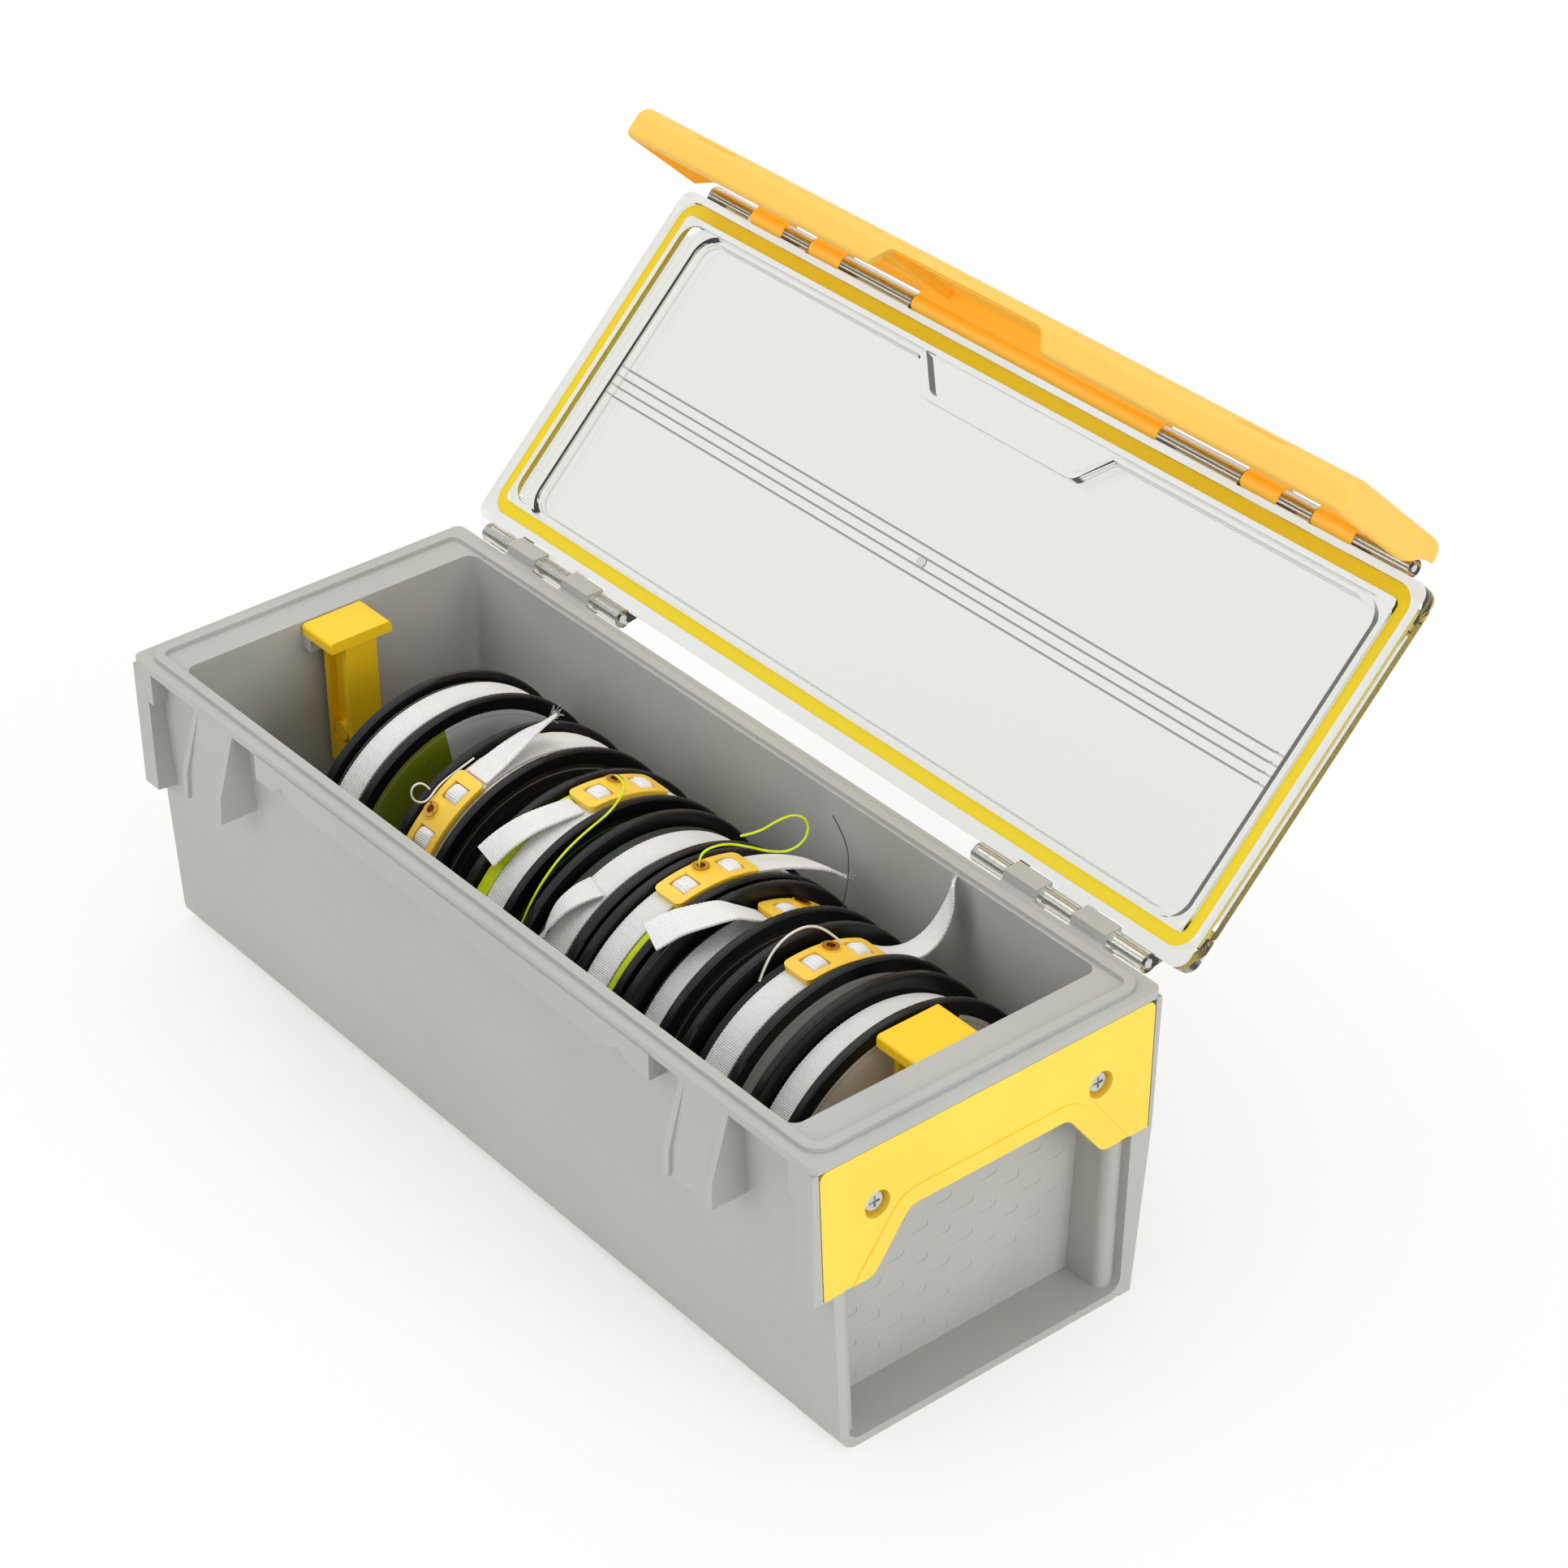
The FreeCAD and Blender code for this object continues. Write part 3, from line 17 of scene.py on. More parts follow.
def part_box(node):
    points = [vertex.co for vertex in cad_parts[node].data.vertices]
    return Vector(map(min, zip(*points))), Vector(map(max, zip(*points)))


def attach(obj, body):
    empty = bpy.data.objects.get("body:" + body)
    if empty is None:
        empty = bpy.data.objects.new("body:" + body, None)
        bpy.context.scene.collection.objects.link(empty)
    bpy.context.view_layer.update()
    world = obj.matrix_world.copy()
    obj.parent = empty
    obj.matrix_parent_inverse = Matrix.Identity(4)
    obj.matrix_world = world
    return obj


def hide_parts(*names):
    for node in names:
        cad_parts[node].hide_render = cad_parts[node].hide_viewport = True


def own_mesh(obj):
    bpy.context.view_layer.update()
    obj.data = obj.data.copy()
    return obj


bl_info = {
    "name": "Line spool box",
    "version": (1, 0, 0),
    "blender": (4, 5, 0),
    "location": "View3D > Sidebar > Line box",
    "description": "Dresses the packed model of a storage box for spools of fishing line",
    "category": "Object",
}

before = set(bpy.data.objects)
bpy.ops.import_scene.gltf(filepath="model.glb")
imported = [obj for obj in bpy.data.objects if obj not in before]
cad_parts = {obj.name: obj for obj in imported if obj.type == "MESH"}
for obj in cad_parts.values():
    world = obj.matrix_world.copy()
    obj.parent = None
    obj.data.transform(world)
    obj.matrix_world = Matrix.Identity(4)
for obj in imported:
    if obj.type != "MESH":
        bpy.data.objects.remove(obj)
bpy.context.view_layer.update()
MM = 0.001

# Camera: angles of the line of sight, its roll, where the lens is, how long it is in millimetres,
# the sensor's width in millimetres and the nearest distance that it sees
CAMERA_AZIMUTH = math.radians(51.348)
CAMERA_ELEVATION = math.radians(33.556)
CAMERA_ROLL = math.radians(-0.835)
CAMERA_PLACE = Vector((0.90299, -0.6539, 0.86048))
CAMERA_LENS = 97.25
CAMERA_SENSOR = 36.0
CAMERA_NEAR = 0.05

# Soft studio light: name, place, what it is aimed at, side of the panel, power in watts
LAMPS = (
    ("overhead_panel", (-0.35, 0.15, 1.7), (0.0, 0.0, 0.1), 1.8, 12.0),
    ("front_panel", (-0.5, -1.7, 1.0), (0.0, 0.0, 0.1), 1.4, 9.0),
    ("end_panel", (1.9, 0.2, 0.65), (0.0, 0.0, 0.1), 1.2, 13.0),
)
AMBIENT = 0.62
WHITE = (1.0, 1.0, 1.0, 1.0)

# Floor: its radius and the share of it outside the inner ring, its paper, the distances between which
# the shadow fades out, how much that counts along the box, and how strong the shadow is
FLOOR_RADIUS = 4.0
FLOOR_RING_SHARE = 0.6
FLOOR_PAPER = (0.93, 0.93, 0.925, 1.0)
SHADOW_REACH = (0.09, 0.28)
SHADOW_ALONG = 0.55
SHADOW_SHARE = 0.5

# Spools from the left: finish of the line, width of the band and its shift along X
# in millimetres, angle of the clip
Spool = namedtuple("Spool", "line band_width band_shift clip_angle")
SPOOLS = {
    1: Spool("line_dark", 11.0, 0.0, 205.0),
    2: Spool("line_cream", 11.0, 0.0, 129.0),
    3: Spool("line_chartreuse", 10.0, 3.0, 77.0),
    4: Spool("line_dark", 11.0, 0.0, 200.0),
    5: Spool("line_chartreuse", 10.0, -1.9, 88.0),
    6: Spool("line_black", 11.0, 0.0, 62.0),
    7: Spool("line_black", 11.0, 0.0, 80.0),
    8: Spool("line_cream", 11.0, 0.0, 210.0),
}

# Edges and moulded lines of the lid, darkened with painted refraction, in the closed lid's own directions:
# heights of the edges above the hinge axis, distances of the lines in front of it and half their width, how
# dark the edges are painted beside the lines, how far both reach from the middle, and how far the lid
# stands open
LID_EDGE_HEIGHTS = ((0.4, 0.9), (3.2, 3.75), (3.85, 4.5), (7.2, 7.95))
LID_LINES = (63.6, 67.2, 70.8, 74.4)
LID_LINE_HALF = 0.36
LID_PAINTED_EDGE_SHARE = 0.6
LID_DOME_HALF = 163.5
LID_OPEN = math.radians(135.6)

# Outside of the latch in the same directions: its front, its top and its foot, the wall's depth, and
# how strongly the painted glow in its hollow shines, a painted light standing in for light through the
# amber
LATCH_FRONT = 153.5
LATCH_TOP = 7.0
LATCH_FOOT = -47.5
LATCH_SKIN = 2.0
LATCH_PAINTED_GLOW = 0.14

# Tread marks: corners of their field on an end wall, across and up, steps in the bend, and how thin
# the line's ends are
TREAD_LOW = Vector((-46.0, 7.5))
TREAD_HIGH = Vector((52.0, 77.0))
TREAD_BEND_STEPS = 6
TREAD_THIN = 0.35

# Outer face of an end wall: how far it lies inside the rim, where it begins below it, and its draft
WALL_INSET = 16.52
WALL_TOP_BELOW_RIM = 1.5
WALL_DRAFT = math.radians(1.2)

# Free ends of the bands: offset along X from the spool's middle in millimetres, angle about
# the axle and height above the band in millimetres, from the clip outwards
BAND_TAILS = {
    2: ((0.0, 110.0, 0.7), (0.0, 101.0, 1.6), (0.0, 92.0, 4.0), (-0.5, 84.0, 6.6), (-1.0, 77.0, 8.6)),
    3: ((0.0, 96.0, 0.7), (-1.0, 105.0, 2.2), (-3.0, 114.0, 3.6), (-5.0, 123.0, 4.4), (-6.5, 131.0, 4.8)),
    4: ((0.0, 116.0, 0.7), (-1.5, 122.0, 2.4), (-3.0, 129.0, 3.4), (-4.0, 136.0, 2.8), (-4.5, 142.0, 2.0)),
    5: ((0.0, 69.0, 0.7), (1.0, 60.0, 2.6), (3.0, 51.0, 5.2), (5.0, 43.0, 7.6), (6.0, 35.0, 9.0)),
    6: ((0.0, 83.0, 0.7), (-0.5, 91.0, 4.8), (-2.0, 97.5, 8.4), (-5.0, 105.0, 9.6), (-9.0, 113.0, 10.4),
        (-12.0, 121.0, 10.8)),
    7: ((0.0, 60.0, 0.7), (0.0, 50.0, 1.6), (0.0, 42.0, 6.4), (0.0, 39.5, 14.0), (0.0, 41.5, 23.0),
        (0.0, 45.0, 30.0)),
}
# Twist of a free end in degrees, and the share of its width that is left at its tip
TAIL_TWIST = {2: -48.0, 3: -6.0, 4: 62.0, 5: -14.0, 6: -8.0, 7: -50.0}
TAIL_TAPER = {2: 0.8, 4: 0.45, 7: 0.8}
# Free ends that are made as pieces of their own, and for each the angle of the place on the band that it
# would be pressed towards and the share of its height that would be left; neither is applied
PRESSED_TAILS = {2: (84.0, 0.4), 7: (43.0, 0.35)}
# Number of loose threads at a free end's tip
FRAYED_TAILS = {2: 22, 4: 8, 5: 16, 7: 12}

# Swelling in a clip's window: share of the window that it fills, how flat its crown is, and the share
# of the band's thickness that its rim is sunk by
WINDOW_FILL = 0.98
SWELL_POWER = 4
SWELL_SINK = 0.2

# Loose ends of line: finish, diameter, length, where the far end is, and the route in millimetres
LooseLine = namedtuple("LooseLine", "finish diameter length far_end route")
LOOSE_LINES = {
    2: LooseLine("line_cream", 0.7, 41.5, "object", (
        (-58.6, -13.5, 108.9), (-58.6, -21.0, 106.8), (-58.2, -28.2, 104.8), (-56.2, -34.4, 101.8),
        (-55.8, -39.0, 104.2), (-55.6, -40.8, 108.0), (-54.8, -40.0, 111.6), (-53.9, -36.6, 111.8),
        (-53.4, -34.8, 108.6),
    )),
    3: LooseLine("line_chartreuse", 0.8, 91.9, "bare", (
        (-17.2, 12.8, 111.9), (-12.0, 12.4, 112.7), (-5.5, 7.4, 113.6), (0.5, -2.6, 113.4),
        (2.5, -13.8, 112.0), (3.5, -24.3, 108.2), (3.2, -33.0, 100.4), (3.7, -40.0, 91.5),
        (3.3, -44.6, 81.5), (3.7, -46.5, 71.0),
    )),
    5: LooseLine("line_chartreuse", 0.8, 74.7, "bare", (
        (40.11, 1.865, 111.4), (40.11, 2.0, 115.3), (40.0, 6.2, 116.7), (40.4, 13.4, 115.3),
        (41.4, 20.6, 111.4), (43.6, 27.4, 107.6), (45.8, 34.2, 105.9), (47.0, 39.8, 109.2),
        (46.0, 41.0, 114.8), (44.5, 37.1, 118.2), (43.0, 31.1, 117.6), (41.4, 24.8, 114.9),
        (40.0, 18.6, 115.6),
    )),
    6: LooseLine("line_dark", 0.4, 35.9, "bare", (
        (67.0, 35.68, 88.48), (66.2, 39.4, 97.2), (62.5, 44.2, 105.6), (58.0, 46.2, 112.2),
        (52.5, 45.7, 118.0),
    )),
    7: LooseLine("line_cream", 0.8, 40.2, "object", (
        (95.6, 13.4, 107.6), (94.5, 8.9, 113.6), (93.8, 3.2, 117.9), (93.0, -3.2, 118.2),
        (92.4, -9.1, 115.4), (91.9, -13.4, 109.9), (91.6, -15.6, 104.4),
    )),
}

# Printed cards in the spools' sides: ground, and blocks of another colour between two angles,
# which run anticlockwise from +Y, seen from +X
Card = namedtuple("Card", "ground blocks")
CARDS = {
    1: Card("card_dark", (("card_lime", 100.0, 168.0), ("card_silver", 30.0, 100.0))),
    2: Card("card_brown", (("card_silver", 152.0, 206.0),)),
    3: Card("card_green", ()),
    4: Card("card_dark", ()),
    5: Card("card_dark", ()),
    6: Card("card_dark", ()),
    7: Card("card_silver", (("card_dark", 185.0, 350.0),)),
    8: Card("card_cream", (("card_brown", 62.0, 78.0), ("card_dark", 190.0, 350.0))),
}
# Radii of a card's border line, pitch of its guide rings, its lift off the recess, and the share of its
# thickness that its edges are rounded by
CARD_LINE = (46.6, 47.0)
CARD_RING_PITCH = 4.2
CARD_LIFT = 0.02
CARD_EDGE_SHARE = 0.3

# Wound line: how much its turns differ in tone, how matt it is, distance between turns in diameters,
# depth of the core and rounding of its edges
LINE_UNEVENNESS = {"line_cream": 0.10, "line_chartreuse": 0.12, "line_dark": 0.45, "line_black": 0.4}
LINE_ROUGHNESS = 0.55
TURN_PITCH = 1.02
CORE_DEPTH = 12.0
CORE_EDGE = 0.4

# Elastic: pitch of its cross ribs, of its rubber cords and of its gathers, rounding of its edges and
# the angle from which an edge is rounded, how near the ring's ends are joined, depth of the creases in a
# clip's window and how they run along and across it, and depth of the hollow across a free end
RIB_PITCH = 0.68
CORD_PITCH = 1.25
GATHER_PITCH = 3.4
BAND_EDGE = 0.28
BAND_EDGE_ANGLE = math.radians(50.0)
BAND_SEAM = 0.02
WINDOW_CREASE = 0.12
CREASE_ALONG = 9.0
CREASE_ACROSS = 4.0
TAIL_CUP = 0.35

# Facets of the meshes: round a wound line, in one of its turns, round its core, a card and the floor,
# and between two points of a loose line
TUBE_SIDES = 7
TURN_STEPS = 56
CORE_SIDES = 96
CARD_SIDES = 112
FLOOR_SIDES = 64
LOOSE_LINE_STEPS = 16
CREASE_ANGLE = math.radians(40.0)

# Faces of the elastic: in the length of a scallop, across the ring and across a free end, along and
# across a swelling, and steps in which a free end's length is measured
SCALLOP_FACES = 4
RING_FACES = 4
TAIL_FACES = 6
SWELL_FACES = (16, 14)
TAIL_STEPS = 40

# Frayed threads: diameter, how deep they begin in the band, how far to either side in shares of its
# width and off its middle layer, the shortest as a share of the longest, least and greatest lean and curl
# across the band and off its face, and steps along a thread
THREAD_DIAMETER = 0.14
THREAD_ROOT = 0.6
THREAD_SPREAD = 0.46
THREAD_LAYER = 0.3
THREAD_SHORTEST = 0.3
THREAD_LEAN = ((-0.7, 0.7), (-0.5, 0.6))
THREAD_CURL = ((-0.5, 0.5), (-0.4, 0.5))
THREAD_STEPS = 3


# Small tones within the finishes: the painted dark refraction at the lid's edges and lines and soil on the
# elastic as display colours, and as linear ones dust on the seal and on the spools, and the guide rings,
# border and fading of the cards
LID_PAINTED_REFRACTION_TONE = (112, 104, 94)
SOIL_TONE = (206, 202, 194)
SEAL_DUST_TONE = (0.8, 0.78, 0.6)
SPOOL_DUST_TONE = (0.32, 0.31, 0.29)
CARD_RING_TONE = (0.5, 0.5, 0.48)
CARD_LINE_TONE = (0.42, 0.42, 0.40)
CARD_FADING_TONE = (0.02, 0.02, 0.02)

# Refraction of the plastics and the seal
PLASTIC_IOR = 1.48
CLEAR_IOR = 1.49
SPOOL_IOR = 1.5
SEAL_IOR = 1.43

# Fineness of the patterns in the finishes: how many of their features fit in a metre
FLOW_CLOUDS = 26.0
RUBBED_PATCHES = 95.0
SCRATCHES = 210.0
LID_WAVES = 16.0
LID_HAZE = 240.0
LATCH_GRAIN = 1250.0
SEAL_SKIN = 900.0
SEAL_DUST = 420.0
METAL_MARKS = 900.0
METAL_TARNISH = 520.0
SPOOL_CLOUDS = 60.0
SPOOL_DUST = 700.0
SPOOL_HAIRLINES = 260.0
BRAID_TURNS = 1500.0
BRAID_RUNS = 420.0
BRAID_PLAITS = 2600.0
ELASTIC_WANDER = 300.0
ELASTIC_FUZZ = 2400.0
ELASTIC_SOIL = 70.0
CARD_FIBRES = 1400.0
CARD_FADING = 55.0


def linear(red, green, blue):
    """Display colour from 0 to 255 as the linear colour that shaders use."""
    parts = (red / 255, green / 255, blue / 255)
    return tuple(c / 12.92 if c <= 0.04045 else ((c + 0.055) / 1.055) ** 2.4 for c in parts)


def shade(name, description, red, green, blue):
    return bpy.props.FloatVectorProperty(
        name=name, description=description, subtype="COLOR", size=3, min=0.0, max=1.0,
        default=linear(red, green, blue))


def length(name, description, millimetres):
    return bpy.props.FloatProperty(
        name=name, description=description, subtype="DISTANCE", unit="LENGTH", min=0.0, precision=5,
        default=millimetres * MM)


class LineBoxColours(bpy.types.PropertyGroup):
    """Colours of the box, the spools and what is wound on them."""

    body: shade("Body", "Moulded grey of the box", 180, 181, 176)
    plate: shade("Handle plates", "Yellow of the two handle plates", 253, 215, 72)
    bracket: shade("Brackets", "Yellow of the axle brackets", 252, 205, 16)
    # Painted glow: a more saturated amber with emission laid in the latch's hollow, standing in for light
    # through the plastic
    latch_painted_glow: shade("Latch inside", "Glowing amber inside the latch", 250, 190, 56)
    gasket: shade("Gasket", "Yellow of the soft seal in the lid", 236, 208, 20)
    latch: shade("Latch", "Amber of the long latch", 248, 196, 82)
    clip: shade("Clips", "Yellow of the band clips", 246, 204, 66)
    lid: shade("Lid", "Tint of the clear lid", 231, 232, 227)
    axle: shade("Axle", "Grey of the axle", 96, 98, 100)
    steel: shade("Steel", "Pins and screws", 208, 208, 206)
    brass: shade("Brass", "Eyelets in the clips", 196, 150, 70)
    spool: shade("Spools", "Black of the spools", 12, 12, 13)
    band: shade("Bands", "White of the woven elastic", 246, 246, 245)
    line_dark: shade("Dark line", "Moss green braided line", 44, 52, 44)
    line_cream: shade("Cream line", "Undyed braided line", 232, 226, 212)
    line_chartreuse: shade("Bright line", "Yellow-green braided line", 216, 234, 6)
    line_black: shade("Black line", "Black braided line", 26, 28, 31)
    card_dark: shade("Dark card", "Near-black label card", 30, 30, 28)
    card_brown: shade("Brown card", "Warm black label card", 44, 38, 34)
    card_green: shade("Green card", "Bottle green label card", 8, 48, 30)
    card_lime: shade("Lime card", "Olive and lime label card", 132, 146, 20)
    card_silver: shade("Silver card", "Grey label card", 214, 215, 216)
    card_cream: shade("Cream card", "Cream label card", 238, 231, 217)


class LineBoxSizes(bpy.types.PropertyGroup):
    """Sizes of the pieces that are modelled here."""

    line_diameter: length("Line", "Diameter of the wound line", 0.5)
    line_shoulder: length("Shoulder turns", "Rise of the turns beside a band", 0.9)
    line_cross_rise: length("Cross turns", "Rise of the crossing turns over the laid ones", 0.2)
    line_cross_pitch: length("Cross pitch", "Travel of a crossing turn along the spool", 3.4)
    band_thickness: length("Band thickness", "Thickness of the elastic", 1.0)
    band_gap: length("Band gap", "Gap between the wound line and the band", 0.1)
    band_scallop: length("Band edge", "Depth of the scallops on a band's edges", 0.16)
    scallop_pitch: length("Scallop pitch", "Distance between two scallops", 1.36)
    window_pitch: length("Window pitch", "Distance between a clip's two windows", 17.0)
    window_length: length("Window length", "Length of a window round the band", 7.0)
    window_width: length("Window width", "Width of a window across the band", 8.0)
    window_bulge: length("Window bulge", "Rise of the elastic through a window", 3.6)
    fray_length: length("Fray", "Longest thread at a frayed end", 4.2)
    card_radius: length("Card radius", "Outside of a label card", 48.5)
    card_hole: length("Card hole", "Hole in a label card", 10.6)
    card_thickness: length("Card thickness", "Thickness of a label card", 0.3)
    card_recess: length("Card recess", "Depth of the spool's recess for the card", 0.8)
    tread_length: length("Tread length", "Length of a tread mark on the end walls", 11.6)
    tread_width: length("Tread width", "Width of a tread mark", 3.6)
    tread_line: length("Tread line", "Thickness of a tread mark's raised line", 0.9)
    tread_row: length("Tread rows", "Distance between two rows of tread marks", 6.4)
    tread_pitch: length("Tread pitch", "Distance between two tread marks in a row", 18.2)


class Value:
    """A shader socket that takes part in Python expressions."""

    def __init__(self, finish, socket):
        self.finish = finish
        self.socket = socket

    def math(self, operation, *others):
        return self.finish.add("ShaderNodeMath", {"operation": operation},
                               dict(enumerate((self, *others))))

    def __add__(self, other):
        return self.math("ADD", other)

    def __sub__(self, other):
        return self.math("SUBTRACT", other)

    def __mul__(self, other):
        return self.math("MULTIPLY", other)

    def __gt__(self, other):
        return self.math("GREATER_THAN", other)

    def __lt__(self, other):
        return self.math("LESS_THAN", other)

    def __rsub__(self, other):
        return self.finish.add("ShaderNodeMath", {"operation": "SUBTRACT"}, {0: other, 1: self})

    __radd__ = __add__

    def clamped(self):
        return self.finish.add("ShaderNodeClamp", {}, {"Value": self})

    def between(self, low, high):
        """0 up to low, 1 from high on, and a straight ramp between them."""
        return self.finish.add("ShaderNodeMapRange", {"clamp": True},
                               {"Value": self, "From Min": low, "From Max": high})


class Finish:
    """Node tree of a material or of the world, in which one call adds one node."""

    def __init__(self, owner):
        owner.use_nodes = True
        self.owner = owner
        self.tree = owner.node_tree
        self.tree.nodes.clear()

    def add(self, kind, settings=None, inputs=None, output=0):
        node = self.tree.nodes.new(kind)
        for name, value in (settings or {}).items():
            setattr(node, name, value)
        for name, value in (inputs or {}).items():
            if isinstance(value, Value):
                self.tree.links.new(value.socket, node.inputs[name])
            else:
                node.inputs[name].default_value = value
        return Value(self, node.outputs[output])

    def place(self):
        return self.add("ShaderNodeTexCoord", output="Object")

    def axes(self, vector):
        """The three parts of a vector."""
        first = self.add("ShaderNodeSeparateXYZ", {}, {0: vector})
        node = first.socket.node
        return [Value(self, socket) for socket in node.outputs]

    def stretched(self, vector, scale):
        return self.add("ShaderNodeMapping", {}, {"Vector": vector, "Scale": scale})

    def noise(self, vector, scale, detail=2.0, roughness=0.5):
        return self.add("ShaderNodeTexNoise", {"noise_dimensions": "3D"},
                        {"Vector": vector, "Scale": scale, "Detail": detail, "Roughness": roughness})

    def mix(self, factor, first, second):
        """first where factor is 0 and second where it is 1."""
        return self.add("ShaderNodeMix", {"data_type": "RGBA"},
                        {0: factor, 6: opaque(first), 7: opaque(second)}, output=2)

    def bump(self, height, strength, depth):
        """Relief with its depth in millimetres."""
        return self.add("ShaderNodeBump", {},
                        {"Strength": strength, "Distance": depth * MM, "Height": height})

    def ray(self, *kinds):
        """1 for rays of any of these kinds."""
        node = self.add("ShaderNodeLightPath").socket.node
        result = Value(self, node.outputs[kinds[0]])
        for kind in kinds[1:]:
            result = result.math("MAXIMUM", Value(self, node.outputs[kind]))
        return result

    def seen(self):
        """1 for rays that the camera sees, straight, mirrored or through something clear."""
        return self.ray("Is Camera Ray", "Is Glossy Ray", "Is Transmission Ray")

    def principled(self, colour, roughness, **inputs):
        sockets = {"Base Color": opaque(colour), "Roughness": roughness}
        sockets.update({name.replace("_", " "): value for name, value in inputs.items()})
        return self.add("ShaderNodeBsdfPrincipled", {}, sockets)

    def shader_mix(self, factor, first, second):
        return self.add("ShaderNodeMixShader", {}, {0: factor, 1: first, 2: second})

    def out(self, shader, kind="ShaderNodeOutputMaterial"):
        node = self.tree.nodes.new(kind)
        self.tree.links.new(shader.socket, node.inputs["Surface"])
        return self.owner


def new_finish(name):
    """A new material's node tree, and the place of the point that it shades."""
    finish = Finish(bpy.data.materials.new(name))
    return finish, finish.place()


def opaque(colour):
    """A colour with its alpha, or a socket as it is."""
    return colour if isinstance(colour, Value) else (*colour[:3], 1.0)


def wave(value, pitch):
    """Sine wave along a length, with its pitch in millimetres."""
    return (value * (2 * math.pi / (pitch * MM))).math("SINE")


def toned(colour, gain):
    return tuple(min(1.0, part * gain) for part in colour[:3])


def flow_clouds(finish, place):
    """Faint clouds in moulded plastic, drawn out along the box."""
    return finish.noise(finish.stretched(place, (0.5, 1.0, 1.0)), FLOW_CLOUDS, 3.0)


def moulded(name, colour, roughness, grain_size, grain_depth):
    """Injection-moulded plastic: fine spark grain, faint flow clouds and rubbed patches."""
    finish, place = new_finish(name)
    flow = flow_clouds(finish, place)
    grain = finish.noise(place, 1 / (grain_size * MM), 2.0, 0.6)
    rubbed = finish.noise(place, RUBBED_PATCHES, 4.0, 0.65).between(0.56, 0.72)
    scratch = finish.noise(finish.stretched(place, (1.0, 9.0, 9.0)), SCRATCHES, 1.0).between(0.70, 0.76)
    tone = finish.mix(flow.between(0.3, 0.7), toned(colour, 0.96), toned(colour, 1.04))
    tone = finish.mix(grain.between(0.35, 0.75) * 0.10, tone, toned(colour, 0.72))
    rough = roughness + (flow - 0.5) * 0.10 + (grain - 0.5) * 0.14 - rubbed * 0.10 + scratch * 0.06
    relief = finish.bump(grain + scratch * -0.35, 0.35, grain_depth)
    return finish.out(finish.principled(tone, rough.clamped(), Normal=relief, IOR=PLASTIC_IOR))


def lid_directions(finish, place):
    """How far a point of the lid or latch is in front of the hinge axis and above it, with the lid shut."""
    low, high = packed_box("hinge_pins")
    axis = (low + high) / 2
    _, y, z = finish.axes(place)
    y = y - axis.y
    z = z - axis.z
    sine, cosine = math.sin(LID_OPEN), math.cos(LID_OPEN)
    return z * sine - y * cosine, y * sine + z * cosine


def clear_plastic(name, tint):
    """Clear moulded lid: glassy, with painted dark refraction at its edges and lines, faint flow waves, and
    a light shadow.
    """
    finish, place = new_finish(name)
    ahead, above = lid_directions(finish, place)
    x, _, _ = finish.axes(place)
    # Painted dark refraction along the lid's edges and its moulded lines
    edges = [(above > low * MM) * (above < high * MM) * LID_PAINTED_EDGE_SHARE for low, high in LID_EDGE_HEIGHTS]
    lines = [(ahead - line * MM).math("ABSOLUTE") < LID_LINE_HALF * MM for line in LID_LINES]
    dark = reduce(lambda first, second: first.math("MAXIMUM", second), lines + edges)
    dark = dark * (x.math("ABSOLUTE") < LID_DOME_HALF * MM)
    flow = finish.noise(finish.stretched(place, (1.0, 2.2, 2.2)), LID_WAVES, 2.0)
    haze = finish.noise(place, LID_HAZE, 3.0).between(0.52, 0.85)
    relief = finish.bump(flow, 0.12, 0.6)
    # The painted refraction darkens the clear tint
    tone = finish.mix(dark * 0.75, tint, linear(*LID_PAINTED_REFRACTION_TONE))
    body = finish.principled(tone, 0.03 + haze * 0.07, Normal=relief, IOR=CLEAR_IOR,
                             Transmission_Weight=1.0)
    passing = finish.add("ShaderNodeBsdfTransparent", {}, {"Color": opaque(toned(tint, 1.1))})
    return finish.out(finish.shader_mix(finish.ray("Is Shadow Ray", "Is Diffuse Ray"), body, passing))


def amber_with_painted_glow(name, colour, inside):
    """Translucent moulded latch: pale outside, with a painted glow in its hollow standing in for light
    through it.
    """
    finish, place = new_finish(name)
    low, high = packed_box("latch")
    ahead, above = lid_directions(finish, place)
    x, _, _ = finish.axes(place)
    flow = flow_clouds(finish, place)
    grain = finish.noise(place, LATCH_GRAIN, 2.0, 0.6)
    # Hollow of the latch, where the painted glow goes
    hollow = ahead < (LATCH_FRONT - LATCH_SKIN) * MM
    hollow = hollow * (above < (LATCH_TOP - LATCH_SKIN) * MM) * (above > (LATCH_FOOT + LATCH_SKIN) * MM)
    hollow = hollow * (x.math("ABSOLUTE") < (high.x - low.x) / 2 - LATCH_SKIN * MM)
    outside = finish.mix(flow.between(0.3, 0.7), toned(colour, 0.97), toned(colour, 1.03))
    # Painted glow: the hollow takes the warmer colour and also shines with it as emission
    tone = finish.mix(hollow, outside, inside)
    glow = finish.mix(hollow, (0.0, 0.0, 0.0), inside)
    relief = finish.bump(grain, 0.3, 0.06)
    shader = finish.principled(tone, 0.42 + (grain - 0.5) * 0.12, Normal=relief, IOR=PLASTIC_IOR,
                               Emission_Color=glow, Emission_Strength=LATCH_PAINTED_GLOW)
    return finish.out(shader)


